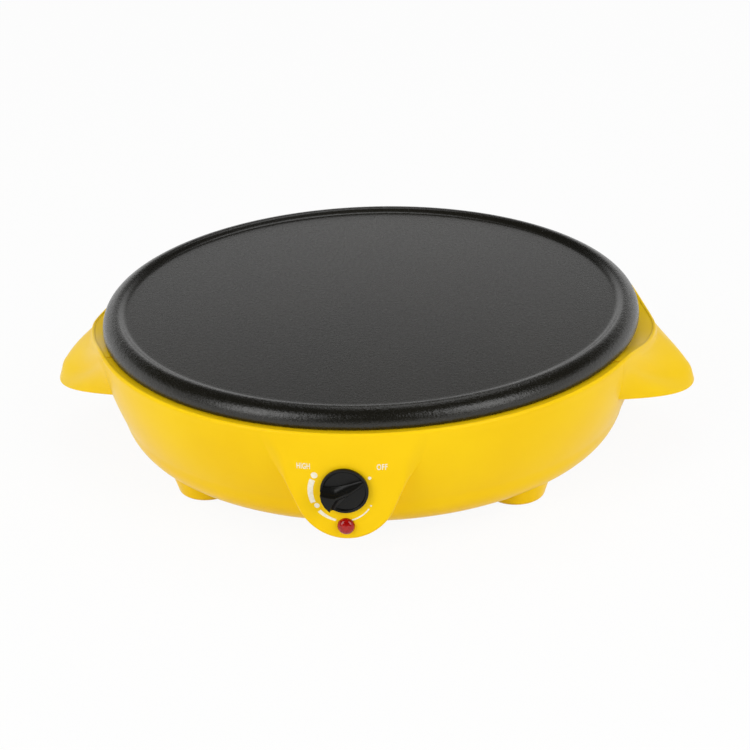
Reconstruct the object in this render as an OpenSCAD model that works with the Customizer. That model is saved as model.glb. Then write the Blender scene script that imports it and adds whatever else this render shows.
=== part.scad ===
// Electric crepe maker: a heated griddle plate in a bowl-shaped body with two ear handles.
// Millimetres, +Z up, front at -Y. The origin is on the table under the plate's axis.

/* [Griddle plate] */
// Outside diameter of the griddle plate
plate_d = 304.8; // [298:0.2:312]
// Height of the rolled edge from its lower lip to its crest
edge_h = 9.5; // [8.5:0.1:11]
// Width of the rolled edge from its crest to the outside
edge_w = 8.2; // [7:0.1:9]
// Height of the crest above the cooking surface
lip_h = 2.5; // [1.5:0.1:3.5]
// Thickness of the cooking slab
slab_t = 5; // [4:0.1:5.5]
// Thickness of the skirt at the lower lip
skirt_t = 3.2; // [2.4:0.1:4]

/* [Body] */
// Height of the body's floor above the table
stand_h = 7; // [6:0.1:9]
// Height of the body from its floor to its rim
body_h = 64.3; // [62:0.1:67]
// Height of the plate's lower lip above the body's rim
plate_lift = 0.7; // [0.3:0.1:1.5]
// Gap between the plate's edge and the inside of the rim
rim_gap = 1.8; // [1.2:0.1:2.6]
// Thickness of the body's wall
wall_t = 2.8; // [2.4:0.1:3.2]
// Distance that the wall leans in from the rim to the heel
wall_lean = 12; // [11:0.5:15]
// Outward swell of the wall
wall_swell = 1; // [0:0.1:2]
// Height of the rounded heel under the wall
heel_h = 18; // [15:0.5:21]
// Width of the rounded heel
heel_w = 20; // [17:0.5:21]
// Outward swell of the heel
heel_swell = 4; // [3:0.1:5]
// Thickness of the floor
floor_t = 4; // [3:0.1:5]
// Drop from the rim to the ledge under the plate
ledge_drop = 1.2; // [0.8:0.1:2.5]
// Width of the ledge under the plate
ledge_w = 8.2; // [6:0.1:10]
// Thickness of the ledge
ledge_t = 2.2; // [1.8:0.1:3]

/* [Front boss] */
// Height of the boss's rounded tip above the table
boss_tip_z = 11.9; // [10.5:0.1:13]
// Radius of the boss's rounded tip
boss_tip_r = 26.5; // [25:0.5:29]
// Angle of the boss's sides from upright, in degrees
boss_side_a = 23.6; // [18:0.2:28]
// Thickness of the boss's wall
boss_t = 2.6; // [2.4:0.1:3]

/* [Foot pods] */
// Radius of the circle that the pods stand on
pod_ring_r = 119.5; // [117:0.5:121]
// Radius of a pod where it meets the body
pod_top_r = 18.5; // [17:0.5:19]
// Radius of a pod just above its base
pod_base_r = 15.4; // [13:0.1:16]
// Height of a pod's flat base above the table
pod_base_z = 1.6; // [1:0.1:2.4]
// Radius of a rubber foot
foot_r = 8; // [6:0.1:8.6]
// Thickness of a rubber foot
foot_t = 2.8; // [2.6:0.1:3.4]

/* [Handles] */
// Reach of a handle's tip from the plate's axis
ear_reach = 184.6; // [178:0.2:190]
// Half width of a handle at its lower edge, where it meets the body
ear_half_w = 59; // [52:0.5:62]
// Height of a handle's lower edge where it meets the body
ear_root_z = 45; // [42:0.5:47]
// Drop of the lower edge from the root to the tip
ear_drop = 14.3; // [10:0.1:17]
// Dip of the rim in the middle of a handle
ear_dip = 7.4; // [5:0.1:10]
// Bulge of the rim in the middle of a handle
ear_bulge = 5.4; // [2:0.1:7]
// Hollow of a handle's upper face
ear_dish = 1.6; // [0:0.1:3]
// Thickness of a handle's skin
ear_t = 3; // [2.6:0.1:3.4]

/* [Knob and thermostat] */
// Height of the knob's axis above the table
knob_z = 40.2; // [38:0.1:42]
// Diameter of the knob's disc
knob_d = 24.8; // [22:0.2:28]
// Front of the knob's disc above the boss's face
disc_h = 2.3; // [1.8:0.1:3.5]
// Front of the knob's grip above the boss's face
grip_h = 7.3; // [6:0.1:9]
// Angle of the grip's pointer above level when it points at OFF, in degrees
pointer_a = 30; // [20:1:45]
// Diameter of the thermostat's shaft
shaft_d = 6; // [5:0.1:6.5]
// Radial clearance of the shaft in its bushing
shaft_clear = 0.05; // [0.02:0.01:0.09]
// Thickness of the thermostat's bracket
bracket_t = 1.2; // [1:0.1:1.5]

/* [Lamp] */
// Drop from the knob's axis to the lamp's axis
lamp_drop = 20.8; // [20:0.1:21.5]
// Diameter of the lens
lens_d = 9; // [8:0.1:9.4]
// Height of the lens's dome
lens_h = 3.6; // [2.5:0.1:4.5]
// Diameter of the lens's stem
stem_d = 7; // [6.6:0.1:7.4]

/* [Heater] */
// Radius of the heating element's ring
ring_r = 96; // [94:0.5:97]
// Diameter of the heating element's tube
tube_d = 6.6; // [6:0.1:7.2]
// Bend radius of the element's cold ends
bend_r = 8; // [7:0.5:9]
// Depth of the plate's bosses under the slab
plate_boss_h = 10; // [9.5:0.1:12]
// Thickness of the reflector pan
pan_t = 0.6; // [0.4:0.1:1]

/* [Fasteners] */
// Radius of the circle of the plate's screws
post_ring_r = 112; // [111.5:0.5:114]
// Diameter of the plate's screws
plate_screw_d = 4; // [3.5:0.1:4.4]
// Radius of the bottom cover
cover_r = 100; // [98.5:0.5:101]
// Thickness of the bottom cover
cover_t = 2.5; // [2:0.1:2.8]
// Radius of the circle of the cover's screws
cover_screw_ring = 96; // [95:0.5:97]
// Diameter of the small screws
small_screw_d = 2.9; // [2.5:0.1:3]
// Radial clearance of a screw in its hole
screw_clear = 0.1; // [0.05:0.05:0.25]
// Clearance between seated faces
seat = 0.1; // [0.05:0.05:0.2]

/* [Cord entry] */
// Height of the cord gland's axis above the table
cord_z = 30; // [28:0.5:33]
// Bore of the gland, for the mains cord
gland_bore_d = 7.2; // [6:0.1:8.5]
// Distance of the gland pad's face from the plate's axis
pad_y = 152; // [151:0.5:154]
// Reach of the gland's nose past its pad
gland_reach = 12; // [8:0.5:14]

/* [Wiring] */
// Diameter of the mains wires
wire_d = 2.4; // [2:0.1:2.6]
// Diameter of the lamp's leads
lead_d = 1.6; // [1.2:0.1:1.8]

/* [Hidden] */

$fn = 96;
round_fn = 48;   // facets on small round pieces

YELLOW = "#f7cf14";
BLACK = "#232321";
STEEL = "#b9bcbe";
BRASS = "#c8a24a";
CERAMIC = "#ece7da";
RUBBER = "#2c2c2c";

// ---- heights and radii that follow from the sizes above ----
plate_r = plate_d / 2;
rim_r = plate_r + rim_gap + wall_t;
rim_z = stand_h + body_h;
bead_r = wall_t / 2;
plate_z = rim_z + plate_lift;
surface_z = plate_z + edge_h - lip_h;
slab_z = surface_z - slab_t;
heel_z = stand_h + heel_h;
heel_r = rim_r - wall_lean;
floor_r = heel_r - heel_w;
floor_z = stand_h + floor_t;
ledge_z = rim_z - ledge_drop;
pan_z = slab_z - plate_boss_h;      // top of the pan, under the plate's bosses
tube_r = tube_d / 2;
rib_h = 4;                           // depth of the rib that holds the element
rib_half_w = 13;
tube_z = slab_z - rib_h;             // axis of the element, level with the rib's face
groove_clear = 0.2;
face_y = -rim_r;                     // the boss's face in front of the knob
boss_c_z = boss_tip_z + boss_tip_r;
lamp_z = knob_z - lamp_drop;
PODS = [45, 135, 225, 315];
POSTS = [62, 118, 242, 298];
COVER_SCREWS = [0, 42, 138, 180, 222, 318];
CLIPS = [25, 155, 205, 335];

// ---- shared shape functions ----
// Points from a to b on a shallow bow that swells by h to the left of the way
function bow(a, b, h, n) = [for (i = [0:n]) let (t = i / n, d = b - a)
    a + t * d + 4 * h * t * (1 - t) * [-d[1], d[0]] / norm(d)];
function smooth(t) = let (c = min(1, max(0, t))) c * c * (3 - 2 * c);
function mix(a, b, t) = a * (1 - t) + b * t;
function unit(v) = v / norm(v);
function reverse(v) = [for (i = [len(v) - 1:-1:0]) v[i]];
// Outer radius of the body's wall at height z
function wall_at(z) = let (t = (rim_z - z) / (rim_z - heel_z))
    rim_r - wall_lean * t + 4 * wall_swell * t * (1 - t);
// The wall's outline between two heights, moved in by d
function wall_pts(z0, z1, d, n) = [for (i = [0:n]) let (z = mix(z0, z1, i / n)) [wall_at(z) - d, z]];

// Solid through a list of closed rings with equal counts, with flat ends
module skin(rings) {
    n = len(rings);
    m = len(rings[0]);
    polyhedron(
        points = [for (ring = rings) each ring],
        faces = concat(
            [[for (j = [0:m - 1]) j]],
            [[for (j = [m - 1:-1:0]) (n - 1) * m + j]],
            [for (i = [0:n - 2], j = [0:m - 1])
                let (a = i * m + j, b = i * m + (j + 1) % m) each [[a, a + m, b], [b, a + m, b + m]]]),
        convexity = 8);
}

// Smooth curve through a route's points
function through(p, k) = [for (i = [0:len(p) - 2], s = [0:k - 1])
    let (a = p[max(0, i - 1)], b = p[i], c = p[i + 1], d = p[min(len(p) - 1, i + 2)], t = s / k)
    0.5 * (2 * b + (c - a) * t + (2 * a - 5 * b + 4 * c - d) * t * t
        + (3 * b - a - 3 * c + d) * t * t * t)];
function route(p, k) = concat(through(p, k), [p[len(p) - 1]]);
function heading(q, i) = unit(q[min(len(q) - 1, i + 1)] - q[max(0, i - 1)]);
function square_to(n, t) = unit(n - (n * t) * t);
function carried(q, i, n) = i == len(q) ? [] :
    let (m = square_to(n, heading(q, i))) concat([m], carried(q, i + 1, m));
// Tube of radius r along a route
module cable(p, r, k = 4, sides = 8) {
    q = route(p, k);
    n = carried(q, 0, [0.21, 0.53, 0.82]);
    skin([for (i = [0:len(q) - 1]) let (t = heading(q, i), b = cross(t, n[i]))
        [for (j = [0:sides - 1]) let (a = -360 * j / sides) q[i] + r * (cos(a) * n[i] + sin(a) * b)]]);
}

module at_ring(r, angles) {
    for (a = angles) rotate([0, 0, a]) translate([r, 0, 0]) children();
}
// Cylinder between two heights
module rod(r, z0, z1) {
    translate([0, 0, z0]) cylinder(r = r, h = z1 - z0, $fn = round_fn);
}
// Ring between two radii and two heights
module ring(r0, r1, z0, z1) {
    difference() {
        rod(r1, z0, z1);
        rod(r0, z0 - 1, z1 + 1);
    }
}
// Turns a shape so that its +Z points out of the front and its +Y up, with z = 0 at y
module front_at(y, z) {
    translate([0, y, z]) rotate([90, 0, 0]) children();
}
// The same for the rear
module rear_at(y, z) {
    translate([0, y, z]) rotate([-90, 0, 0]) children();
}

// ---- griddle plate ----
crest_r = plate_r - edge_w;
well_r = crest_r - 3.8;              // where the cooking surface meets the lip
post_bore_top = surface_z - 3;
bracket_x = 18;
bracket_y = -127;
earth_at = [40, 60];

module plate_profile() {
    shoulder = bow([crest_r + 1.6, plate_z + edge_h - 0.1], [plate_r, plate_z + 1.2], 2.2, 9);
    inner_skirt = plate_r - skirt_t;
    polygon(concat(
        [[0, slab_z], [0, surface_z], [well_r, surface_z], [well_r + 1.2, surface_z + 0.35],
            [crest_r - 1, plate_z + edge_h - 0.35], [crest_r, plate_z + edge_h]],
        shoulder,
        [[plate_r - 0.3, plate_z + 0.3], [plate_r - 1, plate_z], [inner_skirt, plate_z],
            [inner_skirt - 1.6, slab_z]]));
}

module griddle_plate() color(BLACK) difference() {
    union() {
        rotate_extrude($fn = 180) plate_profile();
        // The rib that backs the heating element
        rotate_extrude($fn = 180)
            translate([ring_r - rib_half_w, tube_z]) square([2 * rib_half_w, rib_h + 0.5]);
        at_ring(post_ring_r, POSTS) rod(7, pan_z, slab_z + 0.5);
        for (s = [-1, 1]) translate([s * bracket_x, bracket_y]) rod(5.5, pan_z, slab_z + 0.5);
        translate(earth_at) rod(5, pan_z, slab_z + 0.5);
    }
    rotate_extrude($fn = 180)
        translate([ring_r, tube_z]) circle(r = tube_r + groove_clear, $fn = round_fn);
    at_ring(post_ring_r, POSTS) rod(plate_screw_d / 2 + screw_clear, pan_z - 1, post_bore_top);
    for (s = [-1, 1]) translate([s * bracket_x, bracket_y])
        rod(plate_screw_d / 2 + screw_clear, pan_z - 1, post_bore_top);
    translate(earth_at) rod(plate_screw_d / 2 + screw_clear, pan_z - 1, post_bore_top);
    at_ring(ring_r, CLIPS) for (s = [-1, 1]) translate([s * clip_screw_off, 0])
        rod(small_screw_d / 2 + screw_clear, tube_z - 1, post_bore_top);
}

// ---- heating element ----
gap_a = 10;                          // half angle of the gap between the element's ends
leg_bottom_z = 46;
leg_off = ring_r * sin(gap_a) - bend_r * cos(gap_a);
leg_y = ring_r * cos(gap_a) + bend_r * sin(gap_a);
seal_h = 2;
tab_bottom_z = leg_bottom_z - 12;

module heating_element() color(STEEL) {
    rotate([0, 0, 90 + gap_a]) rotate_extrude(angle = 360 - 2 * gap_a, $fn = 180)
        translate([ring_r, tube_z]) circle(r = tube_r, $fn = round_fn);
    // The bends and the cold legs, each a hair thinner than what it runs into
    for (s = [-1, 1]) {
        translate([s * ring_r * sin(gap_a), ring_r * cos(gap_a), tube_z - bend_r])
            rotate([0, 0, 90 + s * (90 - gap_a)]) rotate([0, -90, -90]) rotate([0, 0, -2])
            rotate_extrude(angle = 92, $fn = round_fn)
            translate([bend_r, 0]) circle(r = tube_r - 0.04, $fn = round_fn);
        translate([s * leg_off, leg_y]) rod(tube_r - 0.08, leg_bottom_z, tube_z - bend_r + 0.3);
    }
}
module element_seals() color(CERAMIC) for (s = [-1, 1])
    translate([s * leg_off, leg_y]) ring(1.2, tube_r - 0.4, leg_bottom_z - seal_h, leg_bottom_z);
module element_terminals() color(STEEL) for (s = [-1, 1]) translate([s * leg_off, leg_y]) {
    rod(1.1, tab_bottom_z + 7, leg_bottom_z);
    translate([-3.15, -0.4, tab_bottom_z]) cube([6.3, 0.8, 8]);
}

clip_w = 10;
clip_t = 0.8;
clip_foot = 12.4;
clip_screw_off = 8.6;
module element_clips() color(STEEL) at_ring(ring_r, CLIPS) difference() {
    rotate([90, 0, 0]) translate([0, 0, -clip_w / 2]) linear_extrude(clip_w) difference() {
        union() {
            translate([-clip_foot, tube_z - seat - clip_t]) square([2 * clip_foot, clip_t]);
            intersection() {
                translate([0, tube_z]) circle(r = tube_r + groove_clear + clip_t, $fn = round_fn);
                translate([-9, tube_z - seat - 9]) square([18, 9]);
            }
        }
        translate([0, tube_z]) circle(r = tube_r + groove_clear, $fn = round_fn);
    }
    for (s = [-1, 1]) translate([s * clip_screw_off, 0])
        rod(small_screw_d / 2 + screw_clear, tube_z - 9, tube_z + 1);
}
module clip_screws() color(STEEL) at_ring(ring_r, CLIPS) for (s = [-1, 1])
    translate([s * clip_screw_off, 0]) {
        rod(2.6, tube_z - 2 * seat - clip_t - 1.8, tube_z - 2 * seat - clip_t);
        rod(small_screw_d / 2, tube_z - 2 * seat - clip_t - 1, post_bore_top - 0.6);
    }

// ---- reflector pan ----
pan_flat_r = 135;
pan_rim_r = 138;
pan_rim_h = 4;
fuse_at = [-45, 50];
fuse_half_l = 6;
fuse_foot = 5.4;
module reflector_pan() color(STEEL) difference() {
    rotate_extrude($fn = 180) polygon([[0, pan_z - pan_t - seat], [pan_flat_r, pan_z - pan_t - seat],
        [pan_rim_r, pan_z + pan_rim_h], [pan_rim_r - pan_t, pan_z + pan_rim_h],
        [pan_flat_r - pan_t, pan_z - seat], [0, pan_z - seat]]);
    at_ring(post_ring_r, POSTS) rod(2.6, pan_z - 2, pan_z + 2);
    for (s = [-1, 1]) {
        translate([s * bracket_x, bracket_y]) rod(2.6, pan_z - 2, pan_z + 2);
        translate([s * leg_off, leg_y]) rod(tube_r + 3, pan_z - 2, pan_z + 2);
        translate([fuse_at[0], fuse_at[1] + s * fuse_foot]) rod(1.3, pan_z - 2, pan_z + 2);
    }
    translate(earth_at) rod(2.6, pan_z - 2, pan_z + 2);
}
pan_under = pan_z - pan_t - 2 * seat;

// ---- what carries the plate on the floor ----
post_h = 6;                          // height of the floor's screw posts above the floor
post_z = floor_z + post_h;
sink_z = stand_h + 5;                // seat of the plate screws' heads
washer_t = 2;
module plate_screws() color(STEEL) at_ring(post_ring_r, POSTS) {
    rod(plate_screw_d, sink_z - seat - 3, sink_z - seat);
    rod(plate_screw_d / 2, sink_z - seat - 1, post_bore_top - 1);
}
module heat_washers() color(CERAMIC)
    at_ring(post_ring_r, POSTS) ring(2.6, 6, post_z + seat, post_z + seat + washer_t);
module plate_spacers() color(STEEL)
    at_ring(post_ring_r, POSTS) ring(2.6, 4.5, post_z + washer_t + 2 * seat, pan_under);

// ---- body ----
boss_top_z = rim_z - bead_r;
// The boss's outline in X and Z, moved in by k
function boss_outline(k) = let (r = boss_tip_r - k, a = boss_side_a,
        top_x = r * cos(a) + (boss_top_z - boss_c_z + r * sin(a)) * tan(a))
    concat([[top_x, boss_top_z]], [for (i = [0:16]) let (w = -a - (180 - 2 * a) * i / 16)
        [r * cos(w), boss_c_z + r * sin(w)]], [[-top_x, boss_top_z]]);
module front_boss(k) intersection() {
    cylinder(r = rim_r - k, h = boss_top_z, $fn = 180);
    translate([0, -60, 0]) rotate([90, 0, 0]) linear_extrude(rim_r) polygon(boss_outline(k));
}

pad_r = 15;
gland_barrel_r = 6;
function bowl_outline() = concat(
    [[0, stand_h]],
    reverse(bow([heel_r, heel_z], [floor_r, stand_h], heel_swell, 8)),
    wall_pts(heel_z + 3, rim_z - bead_r - 2, 0, 9),
    [for (a = [0:30:180]) [rim_r - bead_r + bead_r * cos(a), rim_z - bead_r + bead_r * sin(a)]],
    [[0, rim_z - bead_r]]);
function bowl_hollow() = concat(
    [[0, floor_z]],
    reverse(bow([heel_r - wall_t, heel_z], [floor_r - 1, floor_z], heel_swell * 0.75, 8)),
    wall_pts(heel_z + 3, rim_z - bead_r - 2, wall_t, 9),
    [[rim_r - wall_t, rim_z - bead_r], [rim_r - wall_t, rim_z + 1], [0, rim_z + 1]]);

pod_hollow_r = pod_base_r - 3.6;
pod_top_z = stand_h + 8;
pod_edge = 3;                        // rounding of a pod's lower edge
function pod_outline() = concat([[0, pod_base_z]],
    bow([pod_base_r - pod_edge, pod_base_z], [pod_base_r, pod_base_z + pod_edge], -0.85, 5),
    [[pod_top_r, pod_top_z], [0, pod_top_z]]);

// Half width of a handle's seam at height z: the seam leans with the wall
function seam_y(z) = ear_half_w + 0.262 * (z - ear_root_z);
seam_gap = 0.3;
pocket_d = ear_t + seat;             // depth of the pocket that takes a handle's root
backing_t = 2.6;                     // thickness of the wall behind the pocket
sill_z = plate_z - 15;               // top of that wall, hidden under the plate
ear_screw_z = ear_root_z + 3.4;
EAR_SCREWS = [-9, 9];
ear_pad_r = 4.4;                     // flat pad behind the wall for a handle screw's head
ear_pad_in = wall_at(ear_screw_z - ear_pad_r) - pocket_d - backing_t - 0.4;
ear_head_r = ear_pad_in - seat;

module backing_wall() rotate([0, 0, -29]) rotate_extrude(angle = 58, $fn = 180)
    polygon(concat(
        wall_pts(ear_root_z - 6, sill_z, wall_t - 0.2, 6),
        [[wall_at(sill_z) - pocket_d - 9, sill_z], [wall_at(sill_z) - pocket_d - 9, sill_z - 2.2]],
        wall_pts(sill_z - 2.2, ear_root_z - 6, pocket_d + backing_t, 5)));

window_in = rim_r * 0.64;
window_out = rim_r * 1.15;
module handle_window() intersection() {
    translate([window_in, 0, 0]) rotate([90, 0, 90]) linear_extrude(window_out - window_in) polygon([
        [-seam_y(ear_root_z) - seam_gap, ear_root_z - seam_gap - 1],
        [seam_y(ear_root_z) + seam_gap, ear_root_z - seam_gap - 1],
        [seam_y(rim_z + 9) + seam_gap, rim_z + 9], [-seam_y(rim_z + 9) - seam_gap, rim_z + 9]]);
    rotate([0, 0, -35]) rotate_extrude(angle = 70, $fn = 180) polygon(concat(
        [[window_out, ear_root_z - 3]],
        [[window_out, rim_z + 5], [rim_r - wall_t - ledge_w - 1, rim_z + 5],
            [rim_r - wall_t - ledge_w - 1, sill_z]],
        wall_pts(sill_z, ear_root_z - 3, pocket_d, 6)));
}

module cord_pad(r, y) rear_at(0, cord_z) rod(r, 120, y);

module body_shell() color(YELLOW) difference() {
    union() {
        difference() {
            union() {
                rotate_extrude($fn = 180) polygon(bowl_outline());
                front_boss(0);
                cord_pad(pad_r, pad_y);
                at_ring(pod_ring_r, PODS) rotate_extrude($fn = 64) polygon(pod_outline());
            }
            rotate_extrude($fn = 180) polygon(bowl_hollow());
            front_boss(boss_t);
            cord_pad(pad_r - wall_t, pad_y - wall_t);
        }
        // The ledge under the plate's edge
        rotate_extrude($fn = 180) translate([rim_r - wall_t - ledge_w, ledge_z - ledge_t])
            square([ledge_w + 0.3, ledge_t]);
        for (s = [0, 180]) rotate([0, 0, s]) {
            backing_wall();
            for (a = EAR_SCREWS) rotate([0, 0, a]) translate([0, 0, ear_screw_z]) rotate([0, 90, 0])
                rod(ear_pad_r, ear_pad_in, wall_at(ear_screw_z) - pocket_d - 1);
        }
        at_ring(post_ring_r, POSTS) rod(8, stand_h, post_z);
        at_ring(cover_screw_ring, COVER_SCREWS) rod(4, stand_h + cover_t + 0.2, floor_z + 8);
    }
    for (s = [0, 180]) rotate([0, 0, s]) {
        handle_window();
        for (a = EAR_SCREWS) rotate([0, 0, a]) translate([0, 0, ear_screw_z]) rotate([0, 90, 0])
            rod(small_screw_d / 2 + screw_clear, ear_head_r - 6, rim_r + 3);
    }
    // Floor: opening, cover's recess, screw holes
    rod(cover_screw_ring - 4, stand_h - 1, floor_z + 1);
    translate([0, 0, stand_h - 1]) cylinder(r = cover_r + 0.4, h = cover_t + seat + 1, $fn = 180);
    at_ring(post_ring_r, POSTS) {
        rod(plate_screw_d + 0.6, stand_h - 1, sink_z);
        rod(plate_screw_d / 2 + 0.3, stand_h, post_z + 1);
    }
    at_ring(cover_screw_ring, COVER_SCREWS)
        rod(small_screw_d / 2 + screw_clear, stand_h, floor_z + 7);
    for (s = [-1, 1]) translate([s * block_hole_x, block_y])
        rod(small_screw_d / 2 + screw_clear, stand_h + 0.8, floor_z + 1);
    // Foot pods: hollow, recess for the rubber foot and hole for its stem
    at_ring(pod_ring_r, PODS) {
        rod(pod_hollow_r, pod_base_z + 4, floor_z + 0.5);
        rod(foot_r + 0.2, 0, foot_t + seat);
        rod(foot_stem_r + 0.1, 0, pod_base_z + 5);
    }
    front_at(0, knob_z) rod(hub_r + 1, 120, 170);
    front_at(0, lamp_z) rod(stem_d / 2 + screw_clear, 120, 170);
    rear_at(0, cord_z) rod(gland_barrel_r + 0.2, 120, 170);
}

// ---- bottom cover ----
module bottom_cover() color(BLACK) difference() {
    union() {
        translate([0, 0, stand_h]) cylinder(r = cover_r, h = cover_t, $fn = 180);
        for (k = [0.3, 0.52, 0.84]) let (r = k * cover_r) ring(r - 1, r + 1, stand_h + cover_t - 0.5, stand_h + cover_t + 2);
    }
    at_ring(cover_screw_ring, COVER_SCREWS) rod(small_screw_d / 2 + 0.25, stand_h - 1, floor_z);
    // Cooling slots
    for (a = [0:15:359]) rotate([0, 0, a]) translate([58, -1.5, stand_h - 1]) cube([20, 3, 6]);
}
module cover_screws() color(STEEL) at_ring(cover_screw_ring, COVER_SCREWS) {
    rod(small_screw_d, stand_h - seat - 1.8, stand_h - seat);
    rod(small_screw_d / 2, stand_h - seat - 1, floor_z + 6);
}

// ---- handles ----
root_solid = 0.93;                   // the skin is solid from here to the seam
ear_under = 2.2;                     // reach of the lower edge past the shoulder
shoulder_root_z = rim_z - 6.8;       // where the shoulder meets the body
shoulder_tip_z = ear_root_z - 6;
// Bell curve from 1 in the middle of a handle to 0 at the seam
function bell(a, p, q) = a >= 1 ? 0 : pow(1 - pow(a, p), q);
function flare(a) = bell(a, 1.6, 2.93);
function skirt(a) = bell(a, 1.77, 1);
function on_wall(s, a, r, z) = let (y = s * a * seam_y(z)) [sqrt(r * r - y * y), y, z];
function to_tip(s, a, r, z, reach, e) = let (y = s * a * seam_y(z))
    [mix(sqrt(r * r - y * y), reach, e), y, z];
function ear_rim_z(a) = rim_z - ear_dip * bell(a, 2.95, 3);
function ear_rim_r(a) = rim_r + ear_bulge * bell(a, 1.62, 3);
function shoulder_z(a) = mix(shoulder_root_z, shoulder_tip_z, bell(a, 2.7, 3));
function lower_z(a) = ear_root_z - ear_drop * skirt(a);
function shoulder(s, a) = to_tip(s, a, wall_at(shoulder_root_z), shoulder_z(a),
    ear_reach - ear_under, flare(a));
function lower(s, a) = to_tip(s, a, wall_at(ear_root_z), lower_z(a), ear_reach, skirt(a));
function bezier(p, c, q, t) = (1 - t) * (1 - t) * p + 2 * t * (1 - t) * c + t * t * q;

// One section of a handle: s is the side, a runs from 0 in the middle to 1 at the seam
function ear_ring(s, a) =
    let (
        rr = ear_rim_r(a), rz = ear_rim_z(a),
        lip = on_wall(s, a, wall_at(sill_z) - wall_t, sill_z),
        bead = [for (w = [180:-36:0])
            on_wall(s, a, rr - bead_r + bead_r * cos(w), rz - bead_r + bead_r * sin(w))],
        top = bead[5],
        k = shoulder(s, a), b = lower(s, a),
        blend = min(5, 0.35 * norm(k - top), 0.45 * norm(b - k)),
        k1 = k + blend * unit(top - k), k2 = k + blend * unit(b - k),
        mid = (top + k1) / 2 - [0, 0, 2 * ear_dish * smooth((1 - a) / 0.3)],
        outer = concat(
            [for (t = [0, 0.33, 0.67]) mix(lip, bead[0], t)], bead,
            [for (t = [0.125:0.125:1]) bezier(top, mid, k1, t)],
            [for (t = [0.25:0.25:1]) bezier(k1, k, k2, t)],
            [mix(k2, b, 0.5), b]),
        // Under side: from the lower edge back to the lip
        ai = min(1, a / root_solid),
        e = flare(ai),
        open = smooth((root_solid - a) / 0.4),
        inside = wall_t + seat,
        zk = mix(ear_root_z + 5, k[2] - 0.8 * ear_t, smooth((root_solid - a) / 0.25)),
        za = mix(ear_root_z + 8, rz - ear_t - 0.6, open),
        zl = sill_z - 2.2,
        // Below the body's window the root stays outside the wall
        rb = b[2] < ear_root_z - 0.9 ? wall_at(b[2]) + 1 : wall_at(ear_root_z) - inside,
        b_in = to_tip(s, a, rb, b[2], ear_reach - ear_t, skirt(ai)),
        k_in = to_tip(s, a, wall_at(zk) - inside, zk, ear_reach - ear_under - 0.4 - ear_t, e),
        apex = on_wall(s, a, mix(wall_at(za) - inside, rr - bead_r, open), za),
        lip_in = on_wall(s, a, wall_at(zl) - inside, zl),
        under = [for (t = [0.25, 0.5, 0.75])
            mix(k_in, apex, t) - [0, 0, 4 * t * (1 - t) * ear_dish * open]])
    concat(outer, [b_in, k_in], under, [apex, lip_in]);

EAR_STEPS = [for (i = [0:16]) 1 - pow(i / 16, 1.5)];
module ear_skin() skin(concat(
    [for (a = EAR_STEPS) ear_ring(-1, a)],
    [for (a = reverse([for (i = [0:15]) EAR_STEPS[i]])) ear_ring(1, a)]));
ear_boss_r = 4;
ear_boss_out = mix(rim_r, ear_reach, 0.22);
ear_boss_in = wall_at(ear_screw_z + ear_boss_r) - pocket_d + seat + 0.2;
module ear() difference() {
    union() {
        ear_skin();
        for (a = EAR_SCREWS) rotate([0, 0, a]) translate([0, 0, ear_screw_z]) rotate([0, 90, 0])
            rod(ear_boss_r, ear_boss_in, ear_boss_out);
    }
    for (a = EAR_SCREWS) rotate([0, 0, a]) translate([0, 0, ear_screw_z]) rotate([0, 90, 0])
        rod(small_screw_d / 2 + screw_clear, ear_boss_in - 1, ear_boss_out - 1.4);
}
module right_handle() color(YELLOW) ear();
module left_handle() color(YELLOW) rotate([0, 0, 180]) ear();

module handle_screws() color(STEEL) for (s = [0, 180], a = EAR_SCREWS)
    rotate([0, 0, s + a]) translate([0, 0, ear_screw_z]) rotate([0, 90, 0]) {
        rod(small_screw_d, ear_head_r - 1.8, ear_head_r);
        rod(small_screw_d / 2, ear_head_r - 1, ear_boss_out - 2);
    }

// ---- feet ----
foot_stem_r = 2;
module foot(a) color(RUBBER) rotate([0, 0, a]) translate([pod_ring_r, 0, 0]) {
    translate([0, 0, 0.6]) cylinder(r = foot_r, h = foot_t - 0.6, $fn = round_fn);
    cylinder(r1 = foot_r - 0.6, r2 = foot_r, h = 0.6, $fn = round_fn);
    rod(foot_stem_r, 1, pod_base_z + 4.6);
}
module front_left_foot() foot(PODS[2]);
module front_right_foot() foot(PODS[3]);
module rear_left_foot() foot(PODS[1]);
module rear_right_foot() foot(PODS[0]);

// ---- knob ----
hub_r = 5;
hub_back = -6;
disc_r = knob_d / 2;
disc_gap = 0.5;
rim_ring_w = 1.1;                    // width of the raised ring round the disc
grip_tail = -9.9;
grip_nose = disc_r - rim_ring_w - 0.2;
grip_reach = grip_nose + 0.05;
// Half width of the grip's front: a narrow ridge that flares at the tail
function ridge_w(u) = 0.85 + 3.9 * pow(max(0, (-u - 2) / (-grip_tail - 2)), 2.2);
function root_w(u) = min(ridge_w(u) + 1 + 2.6 * (grip_nose - u) / (grip_nose - grip_tail),
    sqrt(max(0.5, grip_reach * grip_reach - u * u)));
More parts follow.
